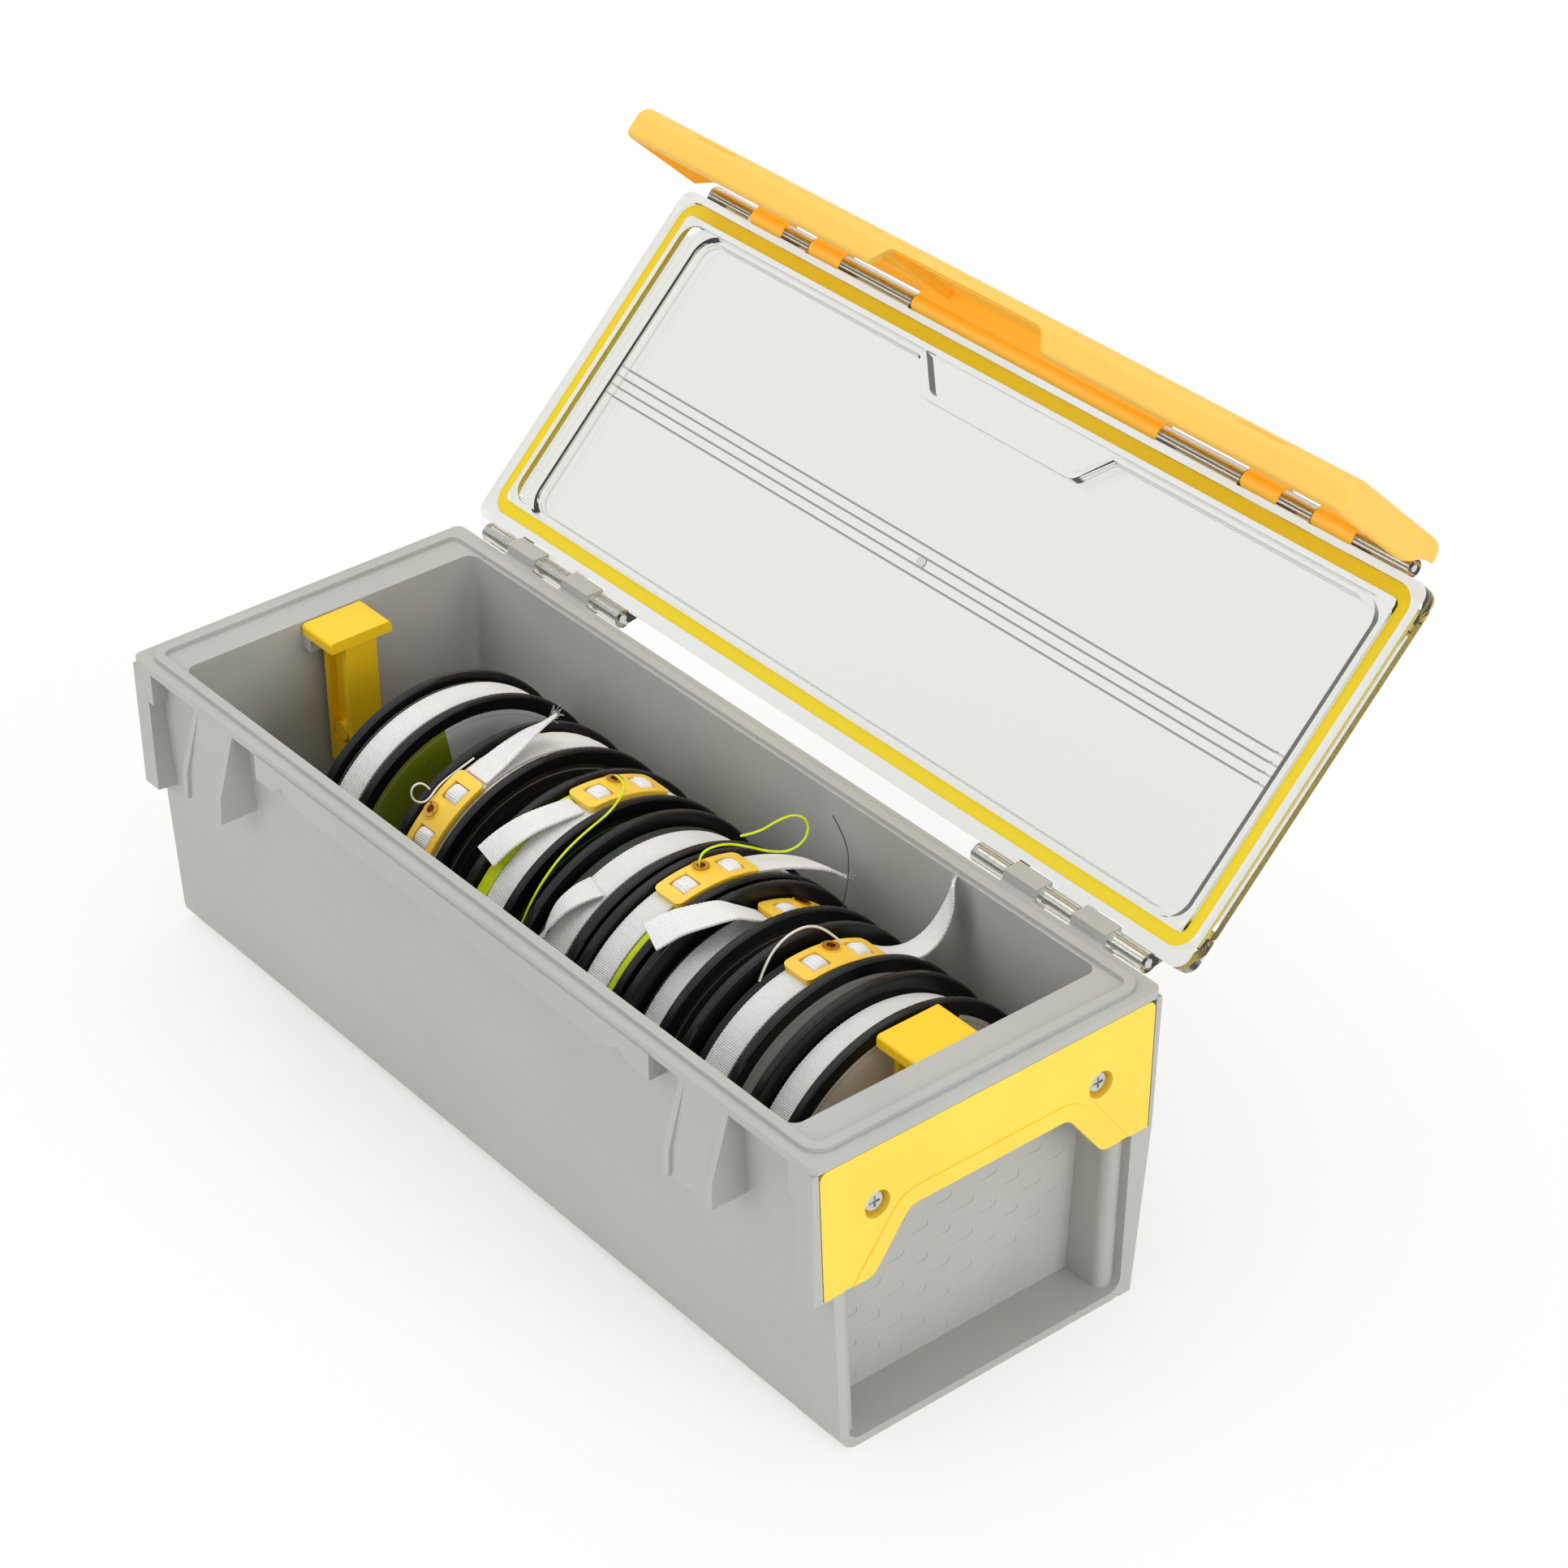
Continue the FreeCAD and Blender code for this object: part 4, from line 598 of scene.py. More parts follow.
def soft_seal(name, colour):
    """Silky rubber with specks of dust."""
    finish, place = new_finish(name)
    skin = finish.noise(place, SEAL_SKIN, 2.0)
    dust = finish.noise(place, SEAL_DUST, 3.0, 0.7).between(0.68, 0.75)
    tone = finish.mix(skin, toned(colour, 0.94), toned(colour, 1.04))
    tone = finish.mix(dust * 0.25, tone, SEAL_DUST_TONE)
    relief = finish.bump(skin, 0.2, 0.08)
    return finish.out(finish.principled(tone, 0.46 + dust * 0.2, Normal=relief, IOR=SEAL_IOR))


def metal(name, colour, roughness, polish):
    """Drawn or turned metal with fine marks along X and a little tarnish."""
    finish, place = new_finish(name)
    marks = finish.noise(finish.stretched(place, polish), METAL_MARKS, 3.0)
    tarnish = finish.noise(place, METAL_TARNISH, 3.0).between(0.5, 0.8)
    tone = finish.mix(tarnish * 0.45, colour, toned(colour, 0.55))
    rough = roughness + (marks - 0.5) * 0.2 + tarnish * 0.15
    relief = finish.bump(marks, 0.25, 0.04)
    return finish.out(finish.principled(tone, rough.clamped(), Normal=relief, Metallic=1.0))


def spool_plastic(name, colour):
    """Smooth black plastic with turned sheen, dust and hairline scratches."""
    finish, place = new_finish(name)
    cloud = finish.noise(place, SPOOL_CLOUDS, 3.0)
    dust = finish.noise(place, SPOOL_DUST, 3.0, 0.75).between(0.70, 0.78)
    hair = finish.noise(finish.stretched(place, (6.0, 1.0, 0.4)), SPOOL_HAIRLINES, 1.0).between(0.70, 0.75)
    tone = finish.mix(cloud * 0.5, colour, toned(colour, 1.5))
    tone = finish.mix(dust * 0.2, tone, SPOOL_DUST_TONE)
    rough = 0.26 + cloud * 0.14 + dust * 0.25 + hair * 0.12
    relief = finish.bump(cloud + hair * -0.4, 0.12, 0.2)
    shader = finish.principled(tone, rough.clamped(), Normal=relief, IOR=SPOOL_IOR,
                               Specular_IOR_Level=0.28)
    return finish.out(shader)


def braid(name, colour, dark, roughness):
    """Laid turns of braided line: each turn has its own tone, with the braid's tight crossings."""
    finish, place = new_finish(name)
    turn = finish.noise(finish.stretched(place, (1.0, 0.02, 0.02)), BRAID_TURNS, 1.0)
    run = finish.noise(finish.stretched(place, (1.0, 0.16, 0.16)), BRAID_RUNS, 3.0, 0.65)
    plait = finish.noise(place, BRAID_PLAITS, 2.0, 0.7)
    tone = finish.mix(turn.between(0.32, 0.68), toned(colour, 1 - dark), toned(colour, 1 + dark * 0.4))
    tone = finish.mix(run.between(0.48, 0.74) * 0.4, tone, toned(colour, 1 - 1.5 * dark))
    tone = finish.mix(plait.between(0.5, 0.8) * 0.35, tone, toned(colour, 1 - dark))
    relief = finish.bump(plait, 0.5, 0.06)
    rough = roughness + (plait - 0.5) * 0.2
    return finish.out(finish.principled(tone, rough.clamped(), Normal=relief))


def woven_elastic(name, colour):
    """White elastic: cross ribs with rubber cords between them, painted shade in the grooves, fuzzy and a
    little soiled.
    """
    finish, place = new_finish(name)
    along, across, _ = finish.axes(finish.add("ShaderNodeUVMap", {"uv_map": "UVMap"}))
    wander = (finish.noise(place, ELASTIC_WANDER, 2.0) - 0.5) * (0.5 * MM)
    rib = wave(along + wander, RIB_PITCH)
    cord = wave(across, CORD_PITCH)
    gather = wave(along + wander * 4.0, GATHER_PITCH)
    fuzz = finish.noise(place, ELASTIC_FUZZ, 3.0, 0.7)
    soil = finish.noise(place, ELASTIC_SOIL, 4.0, 0.6).between(0.5, 0.75)
    height = rib * 0.5 + cord * 0.22 + gather * 0.2 + fuzz * 0.5
    # Painted shade: darker in the grooves between the ribs and between the cords
    gap = (0.0 - rib).between(0.25, 1.0)
    loose = (0.0 - cord).between(0.6, 1.0)
    tone = finish.mix(gap * 0.5, colour, toned(colour, 0.52))
    tone = finish.mix(loose * 0.22, tone, toned(colour, 0.62))
    tone = finish.mix(soil * 0.22, tone, toned(linear(*SOIL_TONE), 0.95))
    relief = finish.bump(height, 0.7, 0.22)
    return finish.out(finish.principled(tone, 0.86 + fuzz * 0.1, Normal=relief, Sheen_Weight=0.35,
                                        Sheen_Roughness=0.5))


def printed_card(name, card, colours, centre):
    """Glossy label card with blocks of colour, a border line and fine guide rings, and no words."""
    finish, place = new_finish(name)
    _, y, z = finish.axes(place)
    y = y - centre.y
    z = z - centre.z
    radius = (y * y + z * z).math("SQRT")
    angle = z.math("ARCTAN2", y) * (180 / math.pi)
    turn = angle + (angle < 0.0) * 360.0
    fibre = finish.noise(place, CARD_FIBRES, 2.0)
    tone = getattr(colours, card.ground)
    for colour, low, high in card.blocks:
        inside = (turn > low) * (turn < high)
        tone = finish.mix(inside, tone, getattr(colours, colour))
    rings = wave(radius, CARD_RING_PITCH).between(0.94, 0.99)
    border = (radius > CARD_LINE[0] * MM) * (radius < CARD_LINE[1] * MM)
    fade = finish.noise(place, CARD_FADING, 3.0)
    accent = toned(colours.card_lime, 1.6) if card.ground == "card_green" else CARD_LINE_TONE
    tone = finish.mix(rings * 0.10, tone, CARD_RING_TONE)
    tone = finish.mix(border * 0.75, tone, accent)
    tone = finish.mix(fade.between(0.3, 0.8) * 0.25, tone, CARD_FADING_TONE)
    relief = finish.bump(fibre, 0.10, 0.05)
    return finish.out(finish.principled(tone, 0.30 + fibre * 0.12, Normal=relief))


def pale_floor(name):
    """White sweep: keeps the shadow near the box, plain white further out."""
    finish, place = new_finish(name)
    x, y, _ = finish.axes(place)
    out = (x * x * SHADOW_ALONG + y * y).math("SQRT").between(*SHADOW_REACH)
    paper = finish.add("ShaderNodeBsdfDiffuse", {}, {"Color": FLOOR_PAPER})
    white = finish.add("ShaderNodeEmission", {}, {"Color": WHITE, "Strength": 1.0})
    seen = finish.seen()
    clear = 1.0 - (1.0 - out) * SHADOW_SHARE
    return finish.out(finish.shader_mix(seen * clear, paper, white))


def worn(name, maker, *facts, **settings):
    """The finish of this name, made once."""
    return bpy.data.materials.get(name) or maker(name, *facts, **settings)


def line_finish(slot, colours):
    colour = tuple(getattr(colours, slot))
    return worn(slot + "_braid", braid, colour, LINE_UNEVENNESS[slot], LINE_ROUGHNESS)


def drawn_steel(colours):
    """Finish of the pins, with marks drawn out along them."""
    return worn("drawn_steel", metal, tuple(colours.steel), roughness=0.22, polish=(0.1, 1.0, 1.0))


def select_only(*pieces):
    bpy.ops.object.select_all(action="DESELECT")
    for piece in pieces:
        piece.select_set(True)
    bpy.context.view_layer.objects.active = pieces[0]


@contextmanager
def edit_mode(piece, mode="VERT"):
    select_only(piece)
    bpy.ops.object.mode_set(mode="EDIT")
    bpy.ops.mesh.select_mode(type=mode)
    yield
    bpy.ops.object.mode_set(mode="OBJECT")


def modified(piece, kind, **settings):
    """Adds a modifier and applies it."""
    modifier = piece.modifiers.new(kind.title(), kind)
    for name, value in settings.items():
        setattr(modifier, name, value)
    select_only(piece)
    bpy.ops.object.modifier_apply(modifier=modifier.name)


def joined(pieces):
    select_only(*pieces)
    bpy.ops.object.join()
    return bpy.context.active_object


def added(primitive, **settings):
    """The piece that one of the mesh primitives makes."""
    bpy.ops.object.select_all(action="DESELECT")
    primitive(location=(0, 0, 0), **settings)
    return bpy.context.active_object


def linked(name, data):
    """A new piece in the scene."""
    piece = bpy.data.objects.new(name, data)
    bpy.context.collection.objects.link(piece)
    return piece


def round_curve(name, diameter, facets):
    """An empty curve with a round section and closed ends."""
    curve = bpy.data.curves.new(name, "CURVE")
    curve.dimensions = "3D"
    curve.bevel_depth = diameter / 2
    curve.bevel_resolution = facets
    curve.use_fill_caps = True
    return curve


def add_spline(curve, kind, places):
    """A new run through these places, which are control points where it is NURBS."""
    spline = curve.splines.new(kind)
    spline.points.add(len(places) - 1)
    for point, place in zip(spline.points, places):
        point.co = (*place, 1.0)
    if kind == "NURBS":
        spline.order_u = 3
        spline.use_endpoint_u = True
    return spline


def as_mesh(name, curve):
    """A curve as a mesh piece."""
    select_only(linked(name, curve))
    bpy.ops.object.convert(target="MESH")
    return bpy.context.active_object


def settle(piece):
    """Puts a piece's place into its mesh."""
    select_only(piece)
    bpy.ops.object.transform_apply(location=True, rotation=True, scale=True)


def deliver(piece, name, material, body, slot, stands_for=()):
    """Names and finishes a piece and hangs it on its body."""
    piece.name = name
    piece.data.name = name
    piece.data.materials.clear()
    piece.data.materials.append(material)
    if piece.type == "MESH":
        settle(piece)
        bpy.ops.object.shade_smooth_by_angle(angle=CREASE_ANGLE)
    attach(piece, body)
    if stands_for:
        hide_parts(*stands_for)
    return piece


def dress(material, *nodes):
    """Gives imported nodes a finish."""
    for name in nodes:
        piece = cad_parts[name]
        if piece.material_slots:
            for holder in piece.material_slots:
                holder.material = material
        else:
            piece.data.materials.append(material)


@lru_cache(maxsize=None)
def packed_box(node):
    """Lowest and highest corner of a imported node, measured once."""
    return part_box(node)


@lru_cache(maxsize=None)
def spool_middle(number):
    low, high = packed_box("spool_%d" % number)
    return (low + high) / 2


def line_outside(number):
    low, high = packed_box("line_%d" % number)
    return (high.z - low.z) / 2


def band_outside(number, sizes):
    return line_outside(number) + sizes.band_gap + sizes.band_thickness


def round_axle(number, x, degrees, radius):
    """Point at an angle and a radius about a spool's axle, x from the spool's middle."""
    turn = math.radians(degrees)
    return spool_middle(number) + Vector((x, radius * math.cos(turn), radius * math.sin(turn)))


def tread_mark(sizes):
    """One tread mark on the XY plane: a fine raised line along its lower edge and round its right end."""
    radius = sizes.tread_width / 2
    bend = sizes.tread_length - sizes.tread_width
    places = [(0.0, -radius, 0.0), (bend / 2, -radius, 0.0)]
    for i in range(TREAD_BEND_STEPS + 1):
        turn = math.pi * i / TREAD_BEND_STEPS
        places.append((bend + radius * math.sin(turn), -radius * math.cos(turn), 0.0))
    curve = round_curve("tread", sizes.tread_line, 1)
    spline = add_spline(curve, "POLY", places)
    for i, point in enumerate(spline.points):
        swell = math.sin(math.pi * i / (len(places) - 1))
        point.radius = TREAD_THIN + (1 - TREAD_THIN) * swell
    return as_mesh("tread", curve)


def tread_places(sizes, low, high):
    """Places of the tread marks on an end wall: brick rows from the shelf up to the arch."""
    rows = int((high.y - low.y) / sizes.tread_row) + 1
    for row in range(rows):
        z = low.y + row * sizes.tread_row
        y = low.x + (row % 2) * sizes.tread_pitch / 2
        while y + sizes.tread_length < high.x:
            yield y, z
            y += sizes.tread_pitch


def tread_wall(sign, sizes):
    """All tread marks of one end wall, joined."""
    mark = tread_mark(sizes)
    turn = Matrix(((0, 0, sign), (sign, 0, 0), (0, 1, 0))).to_4x4()
    marks = []
    for y, z in tread_places(sizes, TREAD_LOW * MM, TREAD_HIGH * MM):
        twin = linked("tread", mark.data.copy())
        wall_x = frame_wall(z)
        twin.matrix_world = Matrix.Translation((sign * wall_x, sign * y, z)) @ turn
        marks.append(twin)
    bpy.data.objects.remove(mark)
    return joined(marks)


def frame_wall(z):
    """Distance of an end wall's outer face from the middle at height z."""
    _, high = packed_box("box_body")
    down = high.z - WALL_TOP_BELOW_RIM * MM - z
    return high.x - WALL_INSET * MM - down * math.tan(WALL_DRAFT)


def helix(first_x, radius, diameter, pitch, turns):
    """Unbroken round tube wound about the X axis, with closed ends."""
    tube = added(bpy.ops.mesh.primitive_circle_add, vertices=TUBE_SIDES, radius=diameter / 2)
    with edit_mode(tube):
        bpy.ops.mesh.select_all(action="SELECT")
        bpy.ops.transform.translate(value=(first_x, radius, 0))
    modified(tube, "SCREW", axis="X", angle=2 * math.pi, screw_offset=pitch, iterations=turns,
             steps=TURN_STEPS, render_steps=TURN_STEPS, use_merge_vertices=False)
    with edit_mode(tube):
        bpy.ops.mesh.select_all(action="SELECT")
        bpy.ops.mesh.fill_holes(sides=0)
        bpy.ops.mesh.normals_make_consistent(inside=False)
    return tube


def wound_line(number, sizes):
    """Line on a spool: a core, laid turns, crossing turns on top and raised turns beside the band."""
    low, high = packed_box("line_%d" % number)
    reach = (high.x - low.x) / 2
    thick = sizes.line_diameter
    laid = line_outside(number) - sizes.line_cross_rise - thick / 2
    pitch = thick * TURN_PITCH
    turns = int((2 * reach - thick) / pitch)
    pieces = [helix(-turns * pitch / 2, laid, thick, pitch, turns)]
    crossings = max(2, int((2 * reach - thick) / sizes.line_cross_pitch))
    travel = crossings * sizes.line_cross_pitch
    for side in (1, -1):
        pieces.append(helix(-side * travel / 2, laid + sizes.line_cross_rise, thick,
                            side * sizes.line_cross_pitch, crossings))
    for side in (1, -1):
        edge = SPOOLS[number].band_width * MM / 2 + side * SPOOLS[number].band_shift * MM + thick
        beside = int((reach - thick - edge) / pitch)
        if beside > 0:
            pieces.append(helix(side * edge, laid + sizes.line_shoulder + sizes.line_cross_rise, thick,
                                side * pitch, beside))
    core = added(bpy.ops.mesh.primitive_cylinder_add, vertices=CORE_SIDES, radius=laid,
                 depth=2 * reach - thick, rotation=(0, math.pi / 2, 0), end_fill_type="NOTHING")
    settle(core)
    modified(core, "SOLIDIFY", thickness=CORE_DEPTH * MM, offset=-1.0)
    modified(core, "BEVEL", width=CORE_EDGE * MM, segments=2, limit_method="ANGLE")
    winding = joined([core] + pieces)
    winding.location = spool_middle(number)
    return winding


def strip(stretch, width, along, across, shape):
    """Flat grid laid onto shape(u, v), with its UV map in metres along and across the strip."""
    piece = added(bpy.ops.mesh.primitive_grid_add, x_subdivisions=along, y_subdivisions=across, size=1)
    for vertex in piece.data.vertices:
        vertex.co = shape(vertex.co.x + 0.5, vertex.co.y + 0.5)
    layer = piece.data.uv_layers.active
    layer.name = "UVMap"
    for corner in layer.data:
        corner.uv = (corner.uv.x * stretch, corner.uv.y * width)
    return piece


def band_ring(number, sizes):
    """The band round a spool, with scalloped edges, joined end to end."""
    radius = band_outside(number, sizes) - sizes.band_thickness / 2
    width = SPOOLS[number].band_width * MM
    shift = SPOOLS[number].band_shift * MM
    around = 2 * math.pi * radius
    scallops = int(around / sizes.scallop_pitch)

    def shape(u, v):
        ripple = math.cos(2 * math.pi * scallops * u)
        half = width / 2 + (ripple - 1) * sizes.band_scallop / 2
        return round_axle(number, shift + (2 * v - 1) * half, 360 * u, radius)

    ring = strip(around, width, scallops * SCALLOP_FACES, RING_FACES, shape)
    with edit_mode(ring):
        bpy.ops.mesh.select_all(action="SELECT")
        bpy.ops.mesh.remove_doubles(threshold=BAND_SEAM * MM)
    return ring


def window_bulge(number, side, sizes):
    """Elastic that swells up through one window of a clip."""
    radius = band_outside(number, sizes) - sizes.band_thickness / 2
    seat = radius + sizes.band_thickness / 2
    middle = SPOOLS[number].clip_angle + side * math.degrees(sizes.window_pitch / 2 / seat)
    run = sizes.window_length * WINDOW_FILL
    width = sizes.window_width * WINDOW_FILL

    def swell(t):
        return 1 - abs(2 * t - 1) ** SWELL_POWER

    def shape(u, v):
        rise = sizes.window_bulge * swell(u) * swell(v) - sizes.band_thickness * SWELL_SINK
        crease = WINDOW_CREASE * MM * math.sin(CREASE_ALONG * u + CREASE_ACROSS * v + number + side)
        turn = middle + math.degrees((u - 0.5) * run / seat)
        return round_axle(number, (v - 0.5) * width, turn, radius + rise + crease * swell(u) * swell(v))

    return strip(run, width, *SWELL_FACES, shape)


def smooth_point(points, u):
    """Point on the smooth curve that passes through the points, u from 0 to 1."""
    spans = len(points) - 1
    span = min(int(u * spans), spans - 1)
    t = u * spans - span
    b, c = points[span], points[span + 1]
    a = points[span - 1] if span else b * 2 - c
    d = points[span + 2] if span + 2 <= spans else c * 2 - b
    bend = 2 * a - 5 * b + 4 * c - d
    swing = 3 * b - a - 3 * c + d
    return 0.5 * (2 * b + (c - a) * t + bend * t ** 2 + swing * t ** 3)


class TailRoute:
    """Centre line of a band's free end, with its run, side and face directions."""

    def __init__(self, number, sizes):
        outside = band_outside(number, sizes)
        self.points = [round_axle(number, x * MM, angle, outside + rise * MM)
                       for x, angle, rise in BAND_TAILS[number]]
        self.twist = math.radians(TAIL_TWIST[number])
        places = [smooth_point(self.points, i / TAIL_STEPS) for i in range(TAIL_STEPS + 1)]
        self.run = sum((second - first).length for first, second in zip(places, places[1:]))

    def at(self, u):
        step = 0.004
        place = smooth_point(self.points, u)
        after = smooth_point(self.points, min(u + step, 1.0))
        ahead = after - smooth_point(self.points, max(u - step, 0.0))
        ahead.normalize()
        side = Vector((1, 0, 0)) - ahead * ahead.x
        side.normalize()
        side = Matrix.Rotation(self.twist * u * u, 3, ahead) @ side
        return place, ahead, side


def band_tail(number, sizes):
    """Free end of a band, some of them narrowing, with the same scalloped edges."""
    route = TailRoute(number, sizes)
    width = SPOOLS[number].band_width * MM
    taper = TAIL_TAPER.get(number, 1.0)
    scallops = max(4, int(route.run / sizes.scallop_pitch))

    def shape(u, v):
        place, ahead, side = route.at(u)
        ripple = math.cos(2 * math.pi * scallops * u)
        half = (width + (ripple - 1) * sizes.band_scallop) / 2 * (1 - (1 - taper) * u)
        cup = TAIL_CUP * MM * (2 * v - 1) ** 2 * u
        return place + side * (2 * v - 1) * half + side.cross(ahead) * -cup

    return strip(route.run, width, scallops * SCALLOP_FACES, TAIL_FACES, shape)


def frayed_threads(number, sizes):
    """Loose threads that stick out of a cut end."""
    seed = random.Random(number)
    place, ahead, side = TailRoute(number, sizes).at(1.0)
    lift = side.cross(ahead)
    width = SPOOLS[number].band_width * MM * TAIL_TAPER.get(number, 1.0)
    curve = round_curve("threads", THREAD_DIAMETER * MM, 1)
    steps = [i / THREAD_STEPS for i in range(THREAD_STEPS + 1)]
    for _ in range(FRAYED_TAILS[number]):
        root = place + side * width * seed.uniform(-THREAD_SPREAD, THREAD_SPREAD)
        root = root + lift * seed.uniform(-THREAD_LAYER, THREAD_LAYER) * MM
        reach = sizes.fray_length * seed.uniform(THREAD_SHORTEST, 1.0)
        lean = ahead + side * seed.uniform(*THREAD_LEAN[0]) + lift * seed.uniform(*THREAD_LEAN[1])
        curl = side * seed.uniform(*THREAD_CURL[0]) + lift * seed.uniform(*THREAD_CURL[1])
        start = root - ahead * THREAD_ROOT * MM
        spots = [start + lean * reach * t + curl * reach * t ** 2 for t in steps]
        add_spline(curve, "NURBS", spots).resolution_u = THREAD_STEPS
    return as_mesh("threads", curve)


def thickened(strips, sizes):
    """Flat strips joined and given the elastic's thickness."""
    band = joined(strips)
    modified(band, "SOLIDIFY", thickness=sizes.band_thickness, offset=0.0)
    modified(band, "BEVEL", width=BAND_EDGE * MM, segments=2, limit_method="ANGLE",
             angle_limit=BAND_EDGE_ANGLE)
    return band


def frayed(band, number, sizes):
    """The band with the loose threads of its cut end, if it has any."""
    if number not in FRAYED_TAILS:
        return band
    return joined([band, frayed_threads(number, sizes)])


def elastic_band(number, sizes):
    """A spool's band: ring, swellings in the clip's windows, and any free end that isn't its own piece."""
    strips = [band_ring(number, sizes)]
    strips += [window_bulge(number, side, sizes) for side in (-1, 1)]
    if number in PRESSED_TAILS:
        return thickened(strips, sizes)
    if number in BAND_TAILS:
        strips.append(band_tail(number, sizes))
    return frayed(thickened(strips, sizes), number, sizes)


def band_length(number, sizes):
    """Length of a band's strip laid flat: once round the spool, and its free end."""
    around = 2 * math.pi * (band_outside(number, sizes) - sizes.band_thickness / 2)
    if number not in BAND_TAILS:
        return around
    points = TailRoute(number, sizes).points
    return around + sum((second - first).length for first, second in zip(points, points[1:]))


def label_card(number, side, sizes):
    """Ring of card in the recess of a spool's right (1) or left (-1) face."""
    low, high = packed_box("spool_%d" % number)
    face = high.x if side > 0 else low.x
    seat = face - side * (sizes.card_recess - sizes.card_thickness / 2 - CARD_LIFT * MM)
    middle = spool_middle(number)
    card = added(bpy.ops.mesh.primitive_circle_add, vertices=CARD_SIDES, radius=sizes.card_radius)
    shrink = sizes.card_hole / sizes.card_radius
    with edit_mode(card):
        bpy.ops.mesh.select_all(action="SELECT")
        bpy.ops.mesh.extrude_region()
        bpy.ops.transform.resize(value=(shrink, shrink, shrink))
        bpy.ops.mesh.select_all(action="SELECT")
        bpy.ops.mesh.subdivide(number_cuts=1)
        bpy.ops.mesh.normals_make_consistent(inside=False)
    modified(card, "SOLIDIFY", thickness=sizes.card_thickness, offset=0.0)
    modified(card, "BEVEL", width=sizes.card_thickness * CARD_EDGE_SHARE, segments=1, limit_method="ANGLE")
    card.rotation_euler = (0, math.pi / 2, 0)
    card.location = (seat, middle.y, middle.z)
    return card


def loose_line(number):
    """A loose end of line as one smooth curve."""
    line = LOOSE_LINES[number]
    curve = round_curve("line_tail", line.diameter * MM, 3)
    curve.resolution_u = LOOSE_LINE_STEPS
    add_spline(curve, "NURBS", [Vector(place) * MM for place in line.route])
    return linked("loose_line_%d" % number, curve)


def choices(context):
    """The colours and the sizes that are set in the panel."""
    return context.scene.line_box_colours, context.scene.line_box_sizes


class LINEBOX_OT_stage(bpy.types.Operator):
    """Floor, lamps, world and the camera"""

    bl_idname = "line_box.stage"
    bl_label = "Studio"

    def execute(self, context):
        scene = context.scene
        scene.view_settings.view_transform = "Standard"
        self.lay_floor()
        self.light(scene)
        self.set_camera(scene)
        return {"FINISHED"}

    def lay_floor(self):
        floor = added(bpy.ops.mesh.primitive_circle_add, vertices=FLOOR_SIDES, radius=FLOOR_RADIUS,
                      fill_type="NGON")
        with edit_mode(floor, "FACE"):
            bpy.ops.mesh.select_all(action="SELECT")
            bpy.ops.mesh.inset(thickness=FLOOR_RADIUS * FLOOR_RING_SHARE)
        floor.name = "floor"
        floor.data.materials.append(worn("floor_sweep", pale_floor))

    def light(self, scene):
        for name, place, aim, side, power in LAMPS:
            lamp = bpy.data.lights.new(name, "AREA")
            lamp.size = side
            lamp.energy = power
            holder = bpy.data.objects.new(name, lamp)
            holder.location = place
            holder.rotation_euler = (Vector(aim) - Vector(place)).to_track_quat("-Z", "Y").to_euler()
            scene.collection.objects.link(holder)
        scene.world = scene.world or bpy.data.worlds.new("studio")
        finish = Finish(scene.world)
        seen = finish.seen()
        soft = finish.add("ShaderNodeBackground", {}, {"Color": WHITE, "Strength": AMBIENT})
        white = finish.add("ShaderNodeBackground", {}, {"Color": WHITE, "Strength": 1.0})
        finish.out(finish.shader_mix(seen, soft, white), "ShaderNodeOutputWorld")

    def set_camera(self, scene):
        level = math.cos(CAMERA_ELEVATION)
        back = Vector((math.sin(CAMERA_AZIMUTH) * level, -math.cos(CAMERA_AZIMUTH) * level,
                       math.sin(CAMERA_ELEVATION)))
        right = (-back).cross(Vector((0, 0, 1))).normalized()
        up = right.cross(-back)
        side = right * math.cos(CAMERA_ROLL) + up * math.sin(CAMERA_ROLL)
        top = up * math.cos(CAMERA_ROLL) - right * math.sin(CAMERA_ROLL)
        lens = bpy.data.cameras.new("camera")
        lens.lens = CAMERA_LENS
        lens.sensor_width = CAMERA_SENSOR
        lens.clip_start = CAMERA_NEAR
        camera = bpy.data.objects.new("camera", lens)
        turn = Matrix((side, top, back)).transposed().to_4x4()
        camera.matrix_world = Matrix.Translation(CAMERA_PLACE) @ turn
        scene.collection.objects.link(camera)
        scene.camera = camera


class LINEBOX_OT_line_tails(bpy.types.Operator):
    """Loose ends of line that come out of the eyelets and windings"""

    bl_idname = "line_box.line_tails"
    bl_label = "Loose line ends"

    def execute(self, context):
        colours, _ = choices(context)
        for number, line in LOOSE_LINES.items():
            tail = loose_line(number)
            deliver(tail, "loose_line_%d" % number, line_finish(line.finish, colours), "spool_%d" % number,
                    line.finish, ["line_tail_%d" % number])
            Vector(line.route[0]) * MM
        return {"FINISHED"}


class LINEBOX_OT_box(bpy.types.Operator):
    """Grey box with the tread marks on its end walls, and the steel in its hinge"""

    bl_idname = "line_box.box"
    bl_label = "Box"

    def execute(self, context):
        colours, sizes = choices(context)
        grey = worn("moulded_grey", moulded, tuple(colours.body), roughness=0.52, grain_size=0.7,
                    grain_depth=0.10)
        dress(grey, "box_body", "rack_rest_left", "rack_rest_right")
        dress(drawn_steel(colours), "hinge_pins")
        for side, sign in (("right", 1), ("left", -1)):
            deliver(tread_wall(sign, sizes), "tread_marks_" + side, grey, "box", "body_grey")
        return {"FINISHED"}


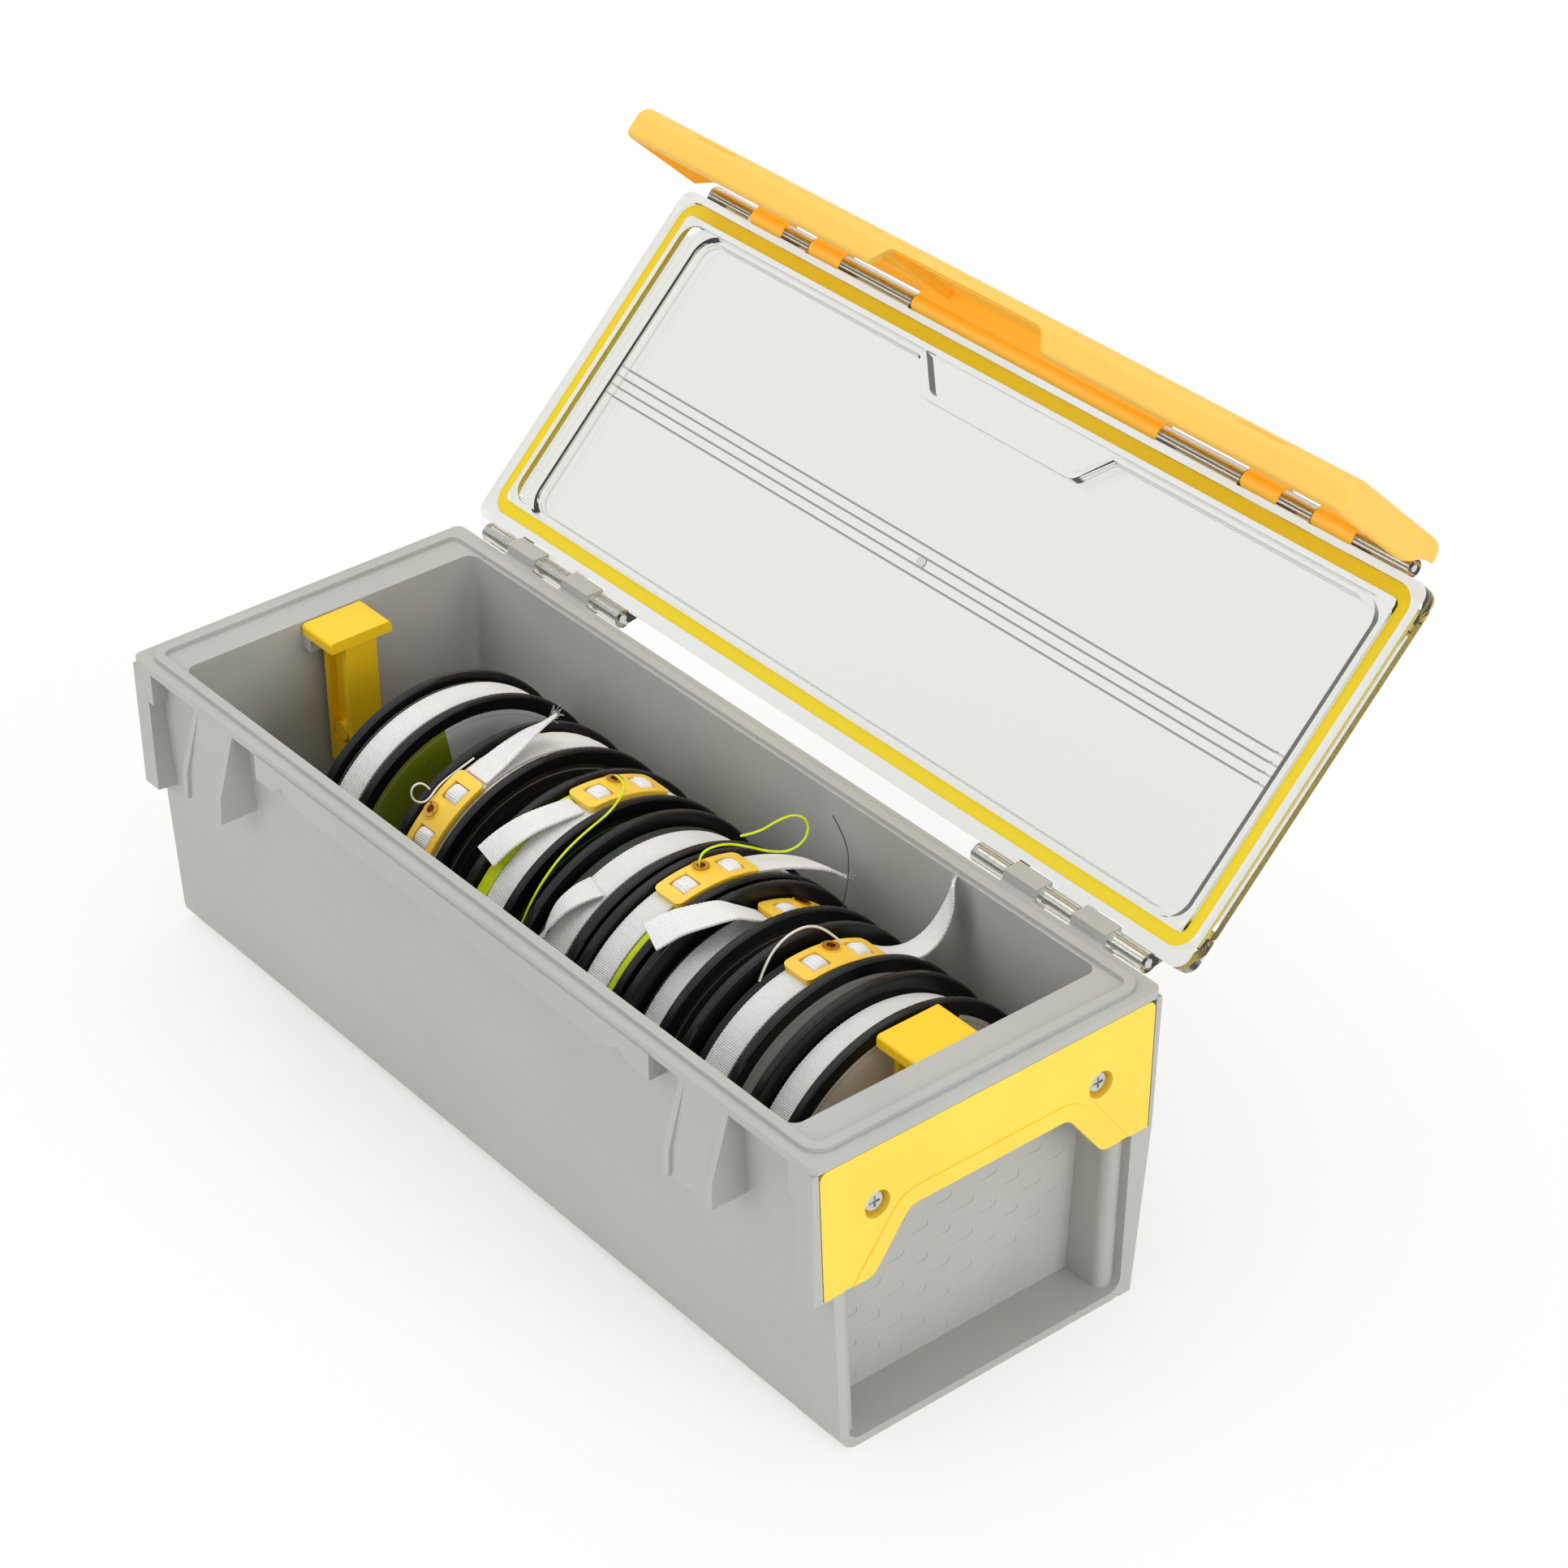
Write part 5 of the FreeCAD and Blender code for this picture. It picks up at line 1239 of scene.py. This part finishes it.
class LINEBOX_OT_handles(bpy.types.Operator):
    """Yellow handle plates and their screws"""

    bl_idname = "line_box.handles"
    bl_label = "Handle plates"

    def execute(self, context):
        colours, _ = choices(context)
        yellow = worn("moulded_yellow", moulded, tuple(colours.plate), roughness=0.46, grain_size=0.8,
                      grain_depth=0.08)
        dress(yellow, "handle_plate_left", "handle_plate_right")
        turned = worn("turned_steel", metal, tuple(colours.steel), roughness=0.26, polish=(1.0, 0.3, 0.3))
        dress(turned, "handle_screws")
        return {"FINISHED"}


class LINEBOX_OT_lid(bpy.types.Operator):
    """Clear lid, its seal, the latch and the latch's pin"""

    bl_idname = "line_box.lid"
    bl_label = "Lid and latch"

    def execute(self, context):
        colours, _ = choices(context)
        dress(worn("clear_lid_plastic", clear_plastic, tuple(colours.lid)), "lid_shell")
        dress(worn("seal_rubber", soft_seal, tuple(colours.gasket)), "lid_gasket")
        amber = worn("moulded_amber", amber_with_painted_glow, tuple(colours.latch), tuple(colours.latch_painted_glow))
        dress(amber, "latch")
        dress(drawn_steel(colours), "latch_pin")
        return {"FINISHED"}


class LINEBOX_OT_rack(bpy.types.Operator):
    """Axle and the two brackets that hang it in the box"""

    bl_idname = "line_box.rack"
    bl_label = "Rack"

    def execute(self, context):
        colours, _ = choices(context)
        yellow = worn("bracket_yellow_plastic", moulded, tuple(colours.bracket), roughness=0.40,
                      grain_size=0.9, grain_depth=0.06)
        grey = worn("axle_plastic", moulded, tuple(colours.axle), roughness=0.5, grain_size=0.7,
                    grain_depth=0.08)
        dress(yellow, "axle_bracket_left", "axle_bracket_right")
        dress(grey, "axle_rod")
        return {"FINISHED"}


class LINEBOX_OT_spools(bpy.types.Operator):
    """Black spools with a label card in each side"""

    bl_idname = "line_box.spools"
    bl_label = "Spools"

    def execute(self, context):
        colours, sizes = choices(context)
        black = worn("spool_black_plastic", spool_plastic, tuple(colours.spool))
        for number in SPOOLS:
            body = "spool_%d" % number
            dress(black, body)
            card_finish = worn("label_card_%d" % number, printed_card, CARDS[number], colours,
                               spool_middle(number))
            for side, word in ((1, "right"), (-1, "left")):
                deliver(label_card(number, side, sizes), "label_card_%d_%s" % (number, word), card_finish,
                        body, "spool_black")
        return {"FINISHED"}


class LINEBOX_OT_wound_lines(bpy.types.Operator):
    """Line wound on the spools"""

    bl_idname = "line_box.wound_lines"
    bl_label = "Wound line"

    def execute(self, context):
        colours, sizes = choices(context)
        for number, spool in SPOOLS.items():
            deliver(wound_line(number, sizes), "wound_line_%d" % number, line_finish(spool.line, colours),
                    "spool_%d" % number, spool.line, ["line_%d" % number])
        return {"FINISHED"}


class LINEBOX_OT_bands(bpy.types.Operator):
    """White elastic bands, their yellow clips and brass eyelets"""

    bl_idname = "line_box.bands"
    bl_label = "Bands and clips"

    def execute(self, context):
        colours, sizes = choices(context)
        white = worn("white_elastic", woven_elastic, tuple(colours.band))
        yellow = worn("clip_yellow_plastic", moulded, tuple(colours.clip), roughness=0.34, grain_size=0.9,
                      grain_depth=0.05)
        brass = worn("eyelet_brass", metal, tuple(colours.brass), roughness=0.2, polish=(1.0, 1.0, 1.0))
        for number, spool in SPOOLS.items():
            body = "spool_%d" % number
            band = deliver(elastic_band(number, sizes), "elastic_band_%d" % number, white, body,
                           "band_white", ["band_%d" % number])
            if number in PRESSED_TAILS:
                self.pressed_end(number, sizes, white, body)
            band_length(number, sizes)
            dress(yellow, "clip_%d" % number)
            dress(brass, "eyelet_%d" % number)
        return {"FINISHED"}

    def pressed_end(self, number, sizes, white, body):
        """A band's free end, frayed where it has threads, as a piece of its own."""
        tail = frayed(thickened([band_tail(number, sizes)], sizes), number, sizes)
        deliver(tail, "band_end_%d" % number, white, body, "band_white")
        angle, keep = PRESSED_TAILS[number]
        anchor = round_axle(number, 0.0, angle, band_outside(number, sizes))
        anchor - spool_middle(number)
        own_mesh(tail)
        return tail


class LINEBOX_PT_pieces(bpy.types.Panel):
    """Lists the steps that dress the box"""

    bl_label = "Line spool box"
    bl_space_type = "VIEW_3D"
    bl_region_type = "UI"
    bl_category = "Line box"

    def draw(self, context):
        layout = self.layout
        for step in STEPS:
            layout.operator(step.bl_idname)
        for group in choices(context):
            column = layout.column()
            for name in group.__annotations__:
                column.prop(group, name)


STEPS = (
    LINEBOX_OT_stage, LINEBOX_OT_line_tails, LINEBOX_OT_box, LINEBOX_OT_handles, LINEBOX_OT_lid,
    LINEBOX_OT_rack, LINEBOX_OT_spools, LINEBOX_OT_wound_lines, LINEBOX_OT_bands,
)
CLASSES = (LineBoxColours, LineBoxSizes, *STEPS, LINEBOX_PT_pieces)


def register():
    for kind in CLASSES:
        bpy.utils.register_class(kind)
    bpy.types.Scene.line_box_colours = bpy.props.PointerProperty(type=LineBoxColours)
    bpy.types.Scene.line_box_sizes = bpy.props.PointerProperty(type=LineBoxSizes)


def unregister():
    del bpy.types.Scene.line_box_sizes
    del bpy.types.Scene.line_box_colours
    for kind in reversed(CLASSES):
        bpy.utils.unregister_class(kind)


def main():
    register()
    for step in STEPS:
        getattr(bpy.ops.line_box, step.bl_idname.split(".")[1])()


if __name__ == "__main__":
    main()
